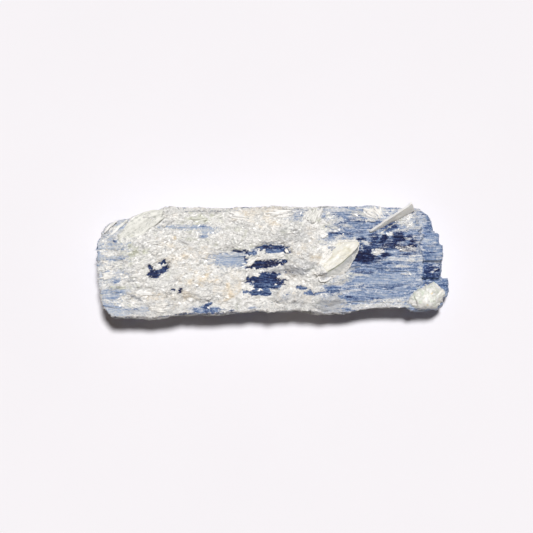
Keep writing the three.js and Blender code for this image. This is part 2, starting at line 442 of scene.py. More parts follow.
def polish(shader, roughness, gloss):
    shader.inputs["Roughness"].default_value = roughness
    shader.inputs["Specular IOR Level"].default_value = gloss


def emboss(tree, shader, height, strength, depth):
    """Relief too fine to model, its depth in millimetres."""
    bump = add(tree, "ShaderNodeBump", {"Strength": strength, "Distance": depth * MM, "Height": height})
    put(tree, bump, shader.inputs["Normal"])


def object_place(tree):
    """Where a point of the piece is, in millimetres."""
    return vector_maths(tree, "SCALE", out(add(tree, "ShaderNodeTexCoord"), "Object"), 1 / MM)


BLADE_ROUGHNESS, CRUST_ROUGHNESS = 0.42, 0.64
BLADE_GLOSS, CRUST_GLOSS = 0.2, 0.4


def body_material():
    """Blades and crust on one surface, told apart by the crust attribute."""
    material, tree, shader = new_material("kyanite under mica")
    where = object_place(tree)
    crust, streaky = attribute(tree, "crust"), attribute(tree, "streaky")
    blades = place(tree, bare_blades, {"Place": where, "Depth": attribute(tree, "depth"), "Crust": crust})
    flakes = place(tree, grain, {"Place": where, "Flake Size": 0.5})
    fibres = place(tree, felt, {"Place": where, "Length": 1.5, "Spacing": 0.2, "Patch Size": 1.1})
    # painted shade in the gaps between flakes, added to the shade attribute
    shade = times(tree, out(flakes, "Gap"), 0.08)
    shade = maths(tree, "ADD", shade, attribute(tree, "shade"), clamp=True)
    speckle = plus(tree, centred(tree, out(fibres, "Streak"), 1.7), out(flakes, "Speckle"))
    tint = place(tree, mottled_tint, {"Place": where, "Tint": attribute(tree, "tint")})
    pale = place(tree, crust_colour, {"Speckle": speckle, "Tint": tint, "Shade": shade})
    # crust breaks off at a crumbly edge; a film of mica thins out into the blue
    crumbs = plus(tree, centred(tree, out(flakes, "Speckle"), 0.9), centred(tree, out(fibres, "Streak"), 1.2))
    crumbs = plus(tree, crumbs, centred(tree, out(blades, "Specks"), 3.0))
    crumbly = between(tree, plus(tree, crust, crumbs), 0.3, 0.62)
    thick = ranged(tree, between(tree, crust, 0.05, 0.5), 0.4, 1.0)
    cover = mixed_value(tree, streaky, times(tree, crumbly, thick), out(blades, "Film"))
    white = mixed(tree, times(tree, streaky, MILKY_SHARE), out(pale, "Color"), MILKY_BLUE)
    put(tree, mixed(tree, cover, out(blades, "Color"), white), shader.inputs["Base Color"])
    rough = ranged(tree, cover, BLADE_ROUGHNESS, CRUST_ROUGHNESS)
    put(tree, rough, shader.inputs["Roughness"])
    put(tree, ranged(tree, cover, BLADE_GLOSS, CRUST_GLOSS), shader.inputs["Specular IOR Level"])
    milky(shader)
    put(tree, times(tree, cover, MILKINESS), shader.inputs["Subsurface Weight"])
    matted = plus(tree, out(fibres, "Height"), times(tree, out(flakes, "Height"), 0.5))
    # the lined relief is damped about its mean, so that no step shows where a film ends
    lined = ranged(tree, out(blades, "Height"), 0.34, 0.94)
    emboss(tree, shader, mixed_value(tree, cover, lined, matted), 0.95, 0.43)
    return material


def flake_material():
    """Loose-edged flakes and fibres of the crust, each with a tone of its own."""
    material, tree, shader = new_material("mica flake")
    where = object_place(tree)
    dust = place(tree, grain, {"Place": where, "Flake Size": 0.5})
    tint = place(tree, mottled_tint, {"Place": where, "Tint": attribute(tree, "tint")})
    speckle = blend(tree, attribute(tree, "own"), out(dust, "Speckle"), 0.5)
    # the shade attribute comes from the body under each flake, painted crack shade included
    looks = {"Speckle": speckle, "Tint": tint, "Shade": attribute(tree, "shade")}
    put(tree, out(place(tree, crust_colour, looks), "Color"), shader.inputs["Base Color"])
    polish(shader, 0.3, 0.6)
    emboss(tree, shader, out(dust, "Height"), 0.3, 0.1)
    return material


def lath_material():
    """Thin splinters of kyanite lying on the blades, some whitened by a film of mica."""
    material, tree, shader = new_material("kyanite lath")
    own = centred(tree, attribute(tree, "own"), 1.0)
    depth = plus(tree, attribute(tree, "depth"), times(tree, own, 0.16))
    crust = plus(tree, attribute(tree, "crust"), times(tree, own, 0.5))
    blades = place(tree, bare_blades, {"Place": object_place(tree), "Depth": depth, "Crust": crust})
    pale = place(tree, crust_colour, {"Speckle": out(blades, "Specks"), "Tint": 0.0, "Shade": 0.0})
    milk = mixed(tree, MILKY_SHARE, out(pale, "Color"), MILKY_BLUE)
    put(tree, mixed(tree, out(blades, "Film"), out(blades, "Color"), milk), shader.inputs["Base Color"])
    polish(shader, BLADE_ROUGHNESS, 0.3)
    emboss(tree, shader, out(blades, "Height"), 0.5, 0.15)
    return material


def plate_material(name, milkiness, depth=MILKY_DEPTH):
    """Flat plates of mica and pale kyanite, lined along their own length."""
    material, tree, shader = new_material(name)
    milky(shader, milkiness, depth)
    where = out(add(tree, "ShaderNodeAttribute", attribute_name="lengthwise"), "Vector")
    lines = place(tree, striation, {"Place": where, "Length": 3.2, "Spacing": 0.36, "Wander": 0.6})
    dust = place(tree, grain, {"Place": where, "Flake Size": 0.6})
    speckle = plus(tree, attribute(tree, "speckle"), centred(tree, out(lines, "Streak"), 1.3))
    speckle = plus(tree, speckle, centred(tree, out(dust, "Speckle"), 0.9))
    looks = {"Speckle": speckle, "Tint": attribute(tree, "tint"), "Shade": attribute(tree, "shade")}
    put(tree, out(place(tree, crust_colour, looks), "Color"), shader.inputs["Base Color"])
    polish(shader, 0.42, 0.45)
    relief = plus(tree, out(lines, "Height"), times(tree, out(dust, "Height"), 0.5))
    emboss(tree, shader, relief, 0.5, 0.2)
    return material


WEDGE_CREAMS = [(0.36, (0.76, 0.735, 0.6)), (0.47, (0.83, 0.815, 0.73)), (0.6, (0.925, 0.915, 0.87))]
WEDGE_BUFF = (0.86, 0.72, 0.52, 1)
WEDGE_GREYS = ((0.68, 0.69, 0.68, 1), (0.8, 0.8, 0.785, 1))
# olive under the top's edge: partly the crystal's own colour, partly painted shade under the overhang
WEDGE_OLIVE_AND_SHADE = (0.42, 0.47, 0.25, 1)


def wedge_material():
    """The pale tabular crystal: cream on top, grey-white on its side, olive and painted shade under the top's
    thin edge.
    """
    material, tree, shader = new_material("cream crystal")
    where = object_place(tree)
    lines = place(tree, striation, {"Place": where, "Length": 2.6, "Spacing": 0.8, "Wander": 3.0})
    dust = place(tree, grain, {"Place": where, "Flake Size": 0.9})
    glow = noise_value(tree, where, 0.35, 2.0)
    cream = out(ramp(tree, blend(tree, glow, out(lines, "Streak"), 0.6), WEDGE_CREAMS), "Color")
    cream = mixed(tree, between(tree, out(dust, "Speckle"), 0.72, 0.85), cream, WEDGE_BUFF)
    side = mixed(tree, between(tree, out(dust, "Speckle"), 0.3, 0.7), *WEDGE_GREYS)
    coloured = mixed(tree, attribute(tree, "side"), cream, side)
    # olive band under the top's edge, partly painted shade
    coloured = mixed(tree, attribute(tree, "rim"), coloured, WEDGE_OLIVE_AND_SHADE)
    put(tree, coloured, shader.inputs["Base Color"])
    polish(shader, 0.4, 0.4)
    milky(shader)
    relief = plus(tree, out(lines, "Height"), times(tree, out(dust, "Height"), 0.4))
    emboss(tree, shader, relief, 0.35, 0.25)
    return material


QUARTZ_WHITES = [(0.2, (0.66, 0.68, 0.63)), (0.42, (0.83, 0.84, 0.8)), (0.62, (0.94, 0.94, 0.92))]
QUARTZ_GREEN = (0.72, 0.78, 0.68, 1)
QUARTZ_RUST = (0.83, 0.7, 0.5, 1)


def quartz_material():
    """Granular quartz with a breath of green and a rusty spot or two."""
    material, tree, shader = new_material("granular quartz")
    where = object_place(tree)
    dust = place(tree, grain, {"Place": where, "Flake Size": 0.8})
    stain = noise_value(tree, where, 0.55, 2.0)
    white = out(ramp(tree, out(dust, "Speckle"), QUARTZ_WHITES), "Color")
    greened = mixed(tree, between(tree, stain, 0.54, 0.74), white, QUARTZ_GREEN)
    rusty = mixed(tree, between(tree, stain, 0.36, 0.28), greened, QUARTZ_RUST)
    put(tree, rusty, shader.inputs["Base Color"])
    polish(shader, 0.3, 0.5)
    milky(shader)
    emboss(tree, shader, out(dust, "Height"), 0.4, 0.2)
    return material


# ------------------------ repeatable randomness on points


def lattice_random(cells, seed):
    """A repeatable random number from 0 to 1 for each whole-number cell."""
    n = cells.astype(np.int64).astype(np.uint64)
    mixing = (0x9E3779B97F4A7C15, 0xC2B2AE3D27D4EB4F, 0x165667B19E3779F9)
    start = (seed * 0x27D4EB2F165667C5) & 0xFFFFFFFFFFFFFFFF
    h = np.full(n.shape[:-1], start, np.uint64)
    for axis, factor in enumerate(mixing):
        h = (h ^ (n[..., axis] * np.uint64(factor))) * np.uint64(0xBF58476D1CE4E5B9)
        h ^= h >> np.uint64(31)
    return (h >> np.uint64(11)).astype(float) / 2**53


def smooth_noise(q, seed):
    """Smooth noise from -1 to 1 with bumps one unit wide."""
    base = np.floor(q)
    f = q - base
    ease = f * f * (3 - 2 * f)
    total = np.zeros(len(q))
    for corner in np.ndindex(2, 2, 2):
        share = np.prod(np.where(corner, ease, 1 - ease), axis=-1)
        total += share * lattice_random(base + corner, seed)
    return 2 * total - 1


def noise(p, size, seed, layers=3):
    """Layered noise of about +-1 on points p, with bumps of the given size in millimetres."""
    q = p / np.broadcast_to(size, 3)
    total, weight = np.zeros(len(p)), 0.0
    for layer in range(layers):
        total += smooth_noise(q * 2**layer + 17.3 * layer, seed + layer) * 0.55**layer
        weight += 0.55**layer
    return 1.6 * total / weight


def grains(p, size, seed):
    """Parts space into crystal grains of the given size. Gives each point its grain's three random numbers
    and its place from the grain's centre in grain sizes."""
    q = p / np.broadcast_to(size, 3)
    base = np.floor(q)
    nearest = np.full(len(p), np.inf)
    chosen, offset = base.copy(), np.zeros_like(q)
    for step in np.ndindex(3, 3, 3):
        cell = base + np.array(step) - 1
        centre = cell + np.stack([lattice_random(cell, seed + k) for k in range(3)], axis=-1)
        away = q - centre
        far = (away**2).sum(-1)
        closer = far < nearest
        nearest = np.where(closer, far, nearest)
        chosen[closer] = cell[closer]
        offset[closer] = away[closer]
    return [lattice_random(chosen, seed + 10 + k) for k in range(3)], offset


def facet_height(p, size, seed, slope, step):
    """Relief of broken crystal faces: each grain is a small plane with a tilt and a level of its own."""
    lots, offset = grains(p, size, seed)
    tilt = (lots[0] - 0.5) * offset[:, 0] + (lots[1] - 0.5) * offset[:, 1]
    return 2 * slope * tilt + step * (lots[2] - 0.5)


def smoothstep(low, high, value):
    t = np.clip((value - low) / (high - low), 0, 1)
    return t * t * (3 - 2 * t)


# ------------------------ where the blades show and where the crust is

FIELD_FROM_X = 13.0  # to the right of this the blades lie bare, with only films of crust
WINDOW_LEVEL = 11.9  # height of the blades' tops where the crust has broken away
CRUST_LEVEL = 12.2
FIELD_LEVEL = 10.6
LIP_LEVEL = 10.9  # what stands higher than this in the bare field is lowered to it
END_RAGGEDNESS = 0.6  # how far the top layer's end is broken back and forth
LOWEST_BLADE_SHIFT = 1.3  # how far the lowest blade's flank is moved towards the front

# Patches, painted in this order: x, y, half length, half width, turn in degrees, how much crust covers it
# (none at 0 or less, all at 1), and the depth of the blue from pale (0) to nearly black (1).
PATCHES = [
    # left end: pale streaks between the flakes
    (-38.4, 8.75, 1.7, 0.5, 46, 0.25, 0.16),
    (-41.6, 6.25, 2.0, 1.2, 20, 0.6, 0.18),
    (-40.0, 4.95, 0.6, 0.35, -20, 0.1, 0.5),
    (-39.8, 0.45, 2.1, 0.6, 6, 0.55, 0.15),
    (-38.6, 0.45, 1.0, 0.25, 6, 0.1, 0.24),
    (-42.3, -2.95, 1.0, 0.3, 25, 0.2, 0.17),
    (-39.5, -5.35, 1.2, 0.4, 15, 0.2, 0.38),
    (-41.1, -8.45, 3.6, 1.4, 4, 0.45, 0.14),
    (-38.7, -7.95, 1.4, 0.25, 3, 0.1, 0.4),
    (-41.6, -9.35, 2.4, 0.25, 2, 0.15, 0.22),
    (-43.7, -10.25, 0.5, 0.5, 0, 0.2, 0.42),
    (-41.0, -11.65, 2.4, 0.22, -9, 0.25, 0.36),
    (-40.6, -13.05, 3.0, 1.0, -3, 0.5, 0.1),
    (-35.3, -12.65, 2.2, 0.8, -4, 0.7, 0.3),
    (-32.6, -12.65, 1.2, 1.1, 0, 0.6, 0.08),
    (-44.3, 1.35, 0.5, 3.4, 0, 0.3, 0.12),
    # left: the navy hollow with its two arms, and two pits
    (-30.0, -3.3, 1.7, 1.5, 8, 0.04, 0.94),
    (-30.6, -2.75, 0.9, 1.0, 0, 0.04, 0.9),
    (-27.9, -2.35, 2.1, 0.85, 34, 0.04, 0.86),
    (-31.0, -2.0, 1.32, 0.6, -58, 0.0, 0.85),
    (-27.6, -0.2, 0.72, 0.56, 60, 0.0, 0.8),
    (-28.6, -0.85, 0.57, 0.41, 0, 0.0, 0.7),
    (-29.3, -1.6, 0.9, 0.5, 20, 1.0, 0.5),
    (-23.5, -7.75, 0.77, 0.66, 0, 0.0, 0.98),
    (-25.4, -7.35, 0.52, 0.41, 0, 0.0, 0.9),
    # upper middle: a pale smear with two darker lines
    (-21.4, 8.5, 6.6, 0.7, -1, 0.42, 0.12),
    (-17.2, 8.85, 1.6, 0.4, -8, 0.15, 0.4),
    (-16.3, 7.45, 2.6, 0.9, 0, 0.5, 0.1),
    (-17.6, 6.05, 1.3, 0.42, 6, 0.15, 0.42),
    # front middle: a curled dark vein in light blue
    (-16.6, -12.75, 3.6, 0.9, -2, 0.1, 0.36),
    (-16.9, -12.05, 1.12, 0.61, 60, 0.0, 0.72),
    (-16.0, -12.65, 1.32, 0.51, -30, 0.0, 0.7),
    (-16.3, -11.05, 1.02, 0.38, 20, 0.0, 0.66),
    (-10.6, -12.75, 0.72, 0.41, 30, 0.0, 0.75),
    (-5.2, -12.05, 1.0, 0.4, 15, 0.4, 0.3),
    # middle: pale blue, then the three windows
    (-11.4, 0.15, 4.6, 1.9, -4, 0.3, 0.1),
    (-8.6, 0.55, 1.8, 1.3, 0, 0.15, 0.17),
    (-8.9, 2.5, 1.5, 0.34, -6, 0.2, 0.8),
    (-6.9, 2.4, 1.0, 0.5, -10, 0.12, 0.88),
    (-5.9, 1.5, 0.7, 0.3, 30, 0.15, 0.84),
    (-5.0, 2.05, 1.1, 0.9, 0, 0.2, 0.48),
    (-7.0, 0.55, 0.5, 0.6, 20, 0.1, 0.8),
    (-0.9, 4.6, 1.8, 0.3, 0, 0.6, 0.3),
    (0.2, 2.75, 4.0, 1.25, 1, 0.1, 0.6),
    (0.3, 3.5, 3.9, 0.4, 1, 0.08, 0.8),
    (3.5, 2.65, 0.5, 0.86, 10, 0.0, 0.85),
    (-1.4, -0.75, 4.62, 1.15, 8, 0.08, 0.95),
    (-0.2, 1.15, 4.1, 0.63, 3, 1.0, 0.5),
    (-2.9, 1.65, 1.2, 0.58, 60, 1.0, 0.5),
    (0.9, -2.5, 3.4, 0.75, 4, 0.75, 0.6),
    (-1.7, -3.95, 3.3, 1.2, 4, 0.0, 0.78),
    (-1.6, -5.05, 5.4, 1.16, -3, -0.02, 0.84),
    (-1.8, -6.45, 4.1, 1.0, 2, 0.02, 0.68),
    (-1.4, -6.2, 1.1, 0.16, 0, 0.0, 0.4),
    (0.9, -6.25, 1.0, 0.14, 0, 0.0, 0.42),
    (-3.6, -8.05, 3.8, 1.0, -2, 0.14, 0.54),
    (-4.9, -8.55, 1.12, 0.55, 0, 0.0, 0.76),
    (-1.8, -8.55, 1.32, 0.5, 0, 0.0, 0.74),
    # right of the windows: slanting slivers of blue in the fibres
    (7.3, -6.9, 1.9, 0.6, -14, 0.12, 0.56),
    (9.6, -8.2, 1.6, 0.6, -8, 0.12, 0.54),
    (12.4, -8.05, 1.0, 0.3, 12, 0.0, 0.5),
    (3.0, -9.15, 1.7, 0.7, 30, 0.7, 0.3),
    (6.2, 11.35, 2.6, 1.3, 24, 0.55, 0.32),
    (4.5, -2.55, 4.2, 0.9, -5, 0.72, 0.5),
]

# The bare field on the right, painted over its own streaks, in the same columns.
FIELD_PATCHES = [
    (13.7, 11.7, 1.8, 0.8, 0, 0.2, 0.34),
    (18.3, 12.1, 2.2, 0.75, 0, 0.2, 0.36),
    (15.0, 13.0, 4.0, 0.5, 0, 0.8, 0.2),
    (16.1, 10.5, 2.8, 0.4, 0, 0.8, 0.2),
    (22.0, 9.8, 3.7, 0.5, -1, 0.1, 0.46),
    (19.9, 7.7, 2.6, 1.0, 0, 0.2, 0.46),
    (17.1, 7.1, 3.3, 0.18, 0, 0.0, 0.68),
    (13.0, 7.1, 1.2, 1.3, 0, 1.0, 0.2),
    (17.0, 5.5, 5.0, 1.1, 0, 0.8, 0.3),
    (26.0, 12.5, 2.8, 1.5, 0, 0.9, 0.2),
    (34.3, 10.3, 2.6, 2.2, 0, 0.9, 0.12),
    (37.0, 10.1, 1.5, 2.9, 0, 0.5, 0.12),
    (29.8, 8.6, 2.0, 0.9, 10, 0.0, 0.62),
    (22.6, 5.6, 1.1, 0.7, 0, 0.0, 0.8),
    (26.0, 6.3, 1.3, 1.0, 0, 0.05, 0.74),
    (25.2, 3.6, 3.4, 1.2, -2, 0.0, 0.84),
    (29.8, 4.3, 3.4, 1.1, -4, 0.1, 0.76),
    (28.1, 5.8, 1.05, 0.95, 0, -0.15, 0.94),
    (29.9, 7.0, 0.9, 0.5, 0, 1.0, 0.2),
    (31.9, 6.0, 1.5, 1.45, 0, -0.15, 0.92),
    (34.7, 6.5, 0.8, 0.5, 0, 0.0, 0.82),
    (36.0, 4.2, 1.5, 1.35, 0, -0.1, 0.9),
    (23.3, 1.0, 3.1, 1.6, 0, -0.3, 0.97),
    (24.8, 0.2, 2.2, 0.35, -4, -0.1, 0.95),
    (21.6, 2.3, 1.6, 0.4, 8, 0.0, 0.86),
    (26.4, 0.6, 1.4, 0.4, -8, 0.0, 0.9),
    (26.7, 2.3, 1.4, 0.75, 0, 1.0, 0.2),
    (28.9, 1.6, 1.1, 0.75, 12, -0.2, 0.95),
    (23.5, 4.7, 1.0, 0.45, -20, 0.9, 0.2),
    (34.0, 3.2, 3.1, 0.8, -8, 0.75, 0.7),
    (34.7, 1.75, 2.8, 0.34, 0, 0.1, 0.85),
    (32.6, 0.6, 4.6, 0.6, 0, 0.6, 0.2),
    (35.3, 0.3, 0.9, 0.55, 0, 1.0, 0.2),
    (29.5, -1.7, 8.2, 1.3, 0, 0.14, 0.4),
    (33.2, -1.3, 2.6, 0.28, 0, 0.9, 0.2),
    (22.6, -2.8, 3.1, 0.32, -3, 0.0, 0.78),
    (23.6, -3.6, 3.1, 0.3, -2, 0.9, 0.2),
    (34.0, -3.2, 1.9, 0.3, 0, 0.9, 0.2),
    (29.1, -4.9, 8.4, 1.3, 0, 0.08, 0.22),
    (30.6, -6.7, 2.2, 0.24, 12, 0.0, 0.62),
    (20.6, -7.0, 6.2, 1.1, 3, 0.4, 0.36),
    (15.0, -7.3, 2.1, 0.75, 10, 0.0, 0.5),
    (15.9, -8.1, 1.0, 0.2, 0, 0.0, 0.85),
    (32.4, -8.1, 1.9, 0.35, 0, 1.0, 0.2),
    (20.8, -9.4, 2.8, 0.6, -3, 0.0, 0.5),
    (19.5, -9.1, 1.0, 0.18, 0, 0.0, 0.8),
    (29.5, -8.9, 4.6, 0.8, 3, 0.15, 0.26),
    (29.0, -10.4, 6.4, 0.8, 2, 0.8, 0.14),
    (27.5, -11.6, 8.0, 0.7, 1, 1.0, 0.15),
    (14.8, -11.2, 3.5, 2.5, 0, 1.0, 0.2),
    (16.4, -4.4, 4.4, 1.5, 13, 0.9, 0.2),
    (13.4, -2.8, 2.4, 2.0, 10, 1.0, 0.2),
    (19.4, -1.9, 1.4, 0.6, 50, 0.8, 0.2),
    # the stepped tips
    (39.7, 8.9, 1.2, 2.3, 0, 0.05, 0.42),
    (40.0, 5.6, 2.6, 1.1, 0, 0.25, 0.2),
    (40.6, 2.1, 3.0, 2.1, 0, 0.15, 0.34),
    (40.4, 2.1, 1.2, 0.4, 0, 0.0, 0.72),
    (40.6, -0.2, 3.4, 2.2, 0, 0.25, 0.36),
    (40.4, -2.7, 2.35, 1.8, 0, -0.1, 0.86),
    (41.9, -3.1, 0.7, 0.8, 0, 0.05, 0.66),
    # a painted highlight: a white fleck where the navy pocket catches the light
    (40.8, -2.4, 0.5, 0.3, 20, 0.85, 0.3),
    (41.6, -1.8, 0.5, 0.16, 0, 0.8, 0.3),
    (37.5, 1.0, 0.9, 9.0, 0, 0.5, 0.3),
    (40.4, -5.4, 1.8, 0.6, 0, 0.0, 0.6),
    (43.5, -6.0, 2.0, 1.6, 0, 0.0, 0.46),
    (43.6, -9.4, 1.2, 2.2, 0, 0.1, 0.32),
]

# Tints of the crust: x, y, half length, half width, turn, and tint from peach (1) to grey-green (-1).
TINTS = [
    (-27.4, 3.55, 2.2, 1.6, 10, 0.6),
    (-17.2, 2.55, 2.0, 1.8, 0, 0.68),
    (-17.9, -4.05, 2.8, 2.4, 20, 0.75),
    (-11.3, -8.05, 1.8, 1.5, 30, 0.75),
    (-29.0, -9.45, 1.6, 1.5, 0, 0.52),
    (-28.3, -12.15, 3.2, 1.7, 4, 0.33),
    (-7.0, 9.15, 1.6, 1.2, 0, 0.52),
    (-1.0, 12.15, 3.4, 1.2, 0, 0.45),
    (-11.0, 11.55, 1.2, 1.6, 0, 0.45),
    (11.0, 1.15, 1.4, 2.0, 0, 0.2),
    (12.2, -3.95, 1.4, 0.8, 0, 0.6),
    (5.4, -8.25, 0.8, 0.6, 0, 0.52),
    (-24.9, 5.85, 0.35, 0.3, 0, 1.5),
    (-33.8, 8.75, 5.8, 2.0, 33, -0.52),
    (-19.2, 10.55, 4.0, 1.2, 0, -0.6),
    (-37.0, 3.55, 3.0, 1.4, -20, -0.52),
    (-34.0, 1.75, 3.2, 1.0, 20, -0.52),
    (-38.9, -6.95, 2.6, 0.4, -6, -1.05),
    (10.3, 11.45, 1.7, 1.7, 0, -0.45),
    (2.6, 7.75, 1.0, 0.6, 0, -0.75),
    (-9.0, 6.55, 3.0, 1.4, 0, -0.38),
    (35.5, -9.95, 3.0, 2.0, 0, -0.3),
    (-6.0, 10.6, 4.4, 2.2, 0, 0.35),
    (-23.0, 0.5, 3.6, 2.2, 12, 0.35),
    (-13.0, 5.2, 4.0, 1.8, -10, -0.3),
    (-22.0, -8.4, 3.6, 2.4, 0, 0.3),
    (-33.5, -5.6, 3.8, 2.0, 8, -0.3),
    (2.5, -11.2, 4.2, 1.3, 0, 0.3),
    (8.0, 3.6, 3.2, 1.8, 0, 0.3),
    (-8.6, 11.7, 2.8, 1.1, 0, 0.4),
    (1.0, 11.3, 3.0, 1.2, -6, 0.35),
]

# Grey patches of the crust, and thin lines of painted shade along its cracks: x, y, half length, half width,
# turn, strength.
GREYS_AND_CRACK_SHADE = [
    (5.6, -2.5, 3.8, 1.2, -4, 0.55),
    (0.6, -2.75, 2.1, 0.6, 0, 0.6),
    (7.1, 6.55, 2.0, 1.7, 0, 0.26),
    (8.4, -0.9, 2.8, 1.0, -10, 0.3),
    (6.5, -9.6, 2.2, 1.6, 50, 0.26),
    (2.6, 7.75, 0.9, 0.5, 0, 0.35),
    (7.1, -10.85, 0.9, 0.9, 30, 0.4),
    (3.6, -9.45, 1.6, 0.9, 30, 0.25),
    # painted shade along cracks at the left end
    (-37.9, -2.0, 1.8, 0.18, 0, 0.55),
    (-35.2, -9.25, 1.9, 0.3, -25, 0.8),
    (-27.5, 9.35, 1.4, 0.8, 25, 0.4),
    (-28.5, -11.8, 3.4, 1.6, 4, 0.3),
    (-35.3, -12.65, 2.1, 0.8, 0, 0.3),
    # the smooth lump at the front: partly its own grey, partly painted shade of its front slope
    (14.6, -11.3, 4.2, 2.4, 0, 0.5),
    (14.6, -10.05, 1.0, 0.5, 0, 0.3),
    (16.5, 6.0, 5.0, 0.9, 2, 0.12),
    (-40.7, 7.15, 1.8, 1.4, 0, 0.2),
    # thin lines of painted shade along cracks
    (-36.4, -8.6, 3.2, 0.18, -12, 0.7),
    (-37.8, 3.2, 2.6, 0.16, 14, 0.6),
    (-33.6, 4.6, 2.8, 0.16, 36, 0.35),
    (-35.6, -5.1, 2.4, 0.16, -6, 0.6),
    (-24.6, -5.0, 1.2, 0.14, 30, 0.45),
    (-19.8, -6.4, 1.4, 0.16, -34, 0.4),
    (-12.6, -3.6, 1.6, 0.16, 24, 0.35),
    (-22.6, 4.6, 1.8, 0.16, -20, 0.35),
    (-9.6, 9.6, 2.0, 0.16, -28, 0.35),
    (4.8, 9.0, 1.8, 0.16, 30, 0.35),
    (2.8, 5.6, 2.4, 0.2, -6, 0.35),
    (8.8, 7.4, 1.8, 0.16, -40, 0.35),
]

# Lumps that are smoother than the rest: x, y, half length, half width, turn, share of roughness left.
SMOOTH_LUMPS = [
    (-35.0, 8.5, 6.4, 2.0, 34, 0.25),
    (14.6, -11.35, 3.6, 2.4, 0, 0.3),
    (-28.6, -12.05, 3.2, 1.6, 4, 0.5),
    (0.4, 11.95, 3.4, 1.3, 3, 0.6),
]

# The way fibres and flakes lie: x, y, half length, half width, turn, and their heading in degrees.
FLOWS = [
    (-36.0, 8.55, 9.0, 5.0, 31, 31),
    (-40.0, -0.45, 7.0, 4.0, 0, 8),
    (-38.0, -9.45, 8.0, 5.0, 0, -6),
    (-20.0, 9.05, 8.0, 3.5, 0, 3),
    (-9.0, 7.05, 5.0, 3.0, 0, -25),
    (7.0, -9.95, 4.0, 3.4, 0, 48),
    (3.0, -9.95, 2.2, 2.6, 0, 72),
    (8.5, -3.95, 5.0, 2.6, 0, -14),
    (9.5, 11.05, 4.0, 3.0, 0, 38),
    (28.0, -0.45, 16.0, 13.0, 0, 0),
    (26.0, 12.15, 3.0, 2.0, 0, -48),
]

# Room for the crystals that are modelled apart: x, y, half length, half width, turn, the level above which
# the body is drawn in, and the share of its height that is left.
ROOM_FOR_CRYSTALS = [
    (16.9, 0.9, 5.2, 2.3, 38, 11.4, 0.25),
    (30.4, 10.5, 6.8, 1.1, 34, 10.6, 0.25),
    (39.2, -9.0, 5.0, 3.6, -4, 10.6, 0.3),
]

# Where the crust is heaped up: x, y, half length, half width, turn, height.
HEAPS = [
    (10.4, -4.4, 2.2, 1.3, 8, 0.8),
    (16.0, -4.6, 3.6, 1.3, 18, 0.8),
    (20.6, -0.9, 1.4, 0.9, 45, 0.6),
]

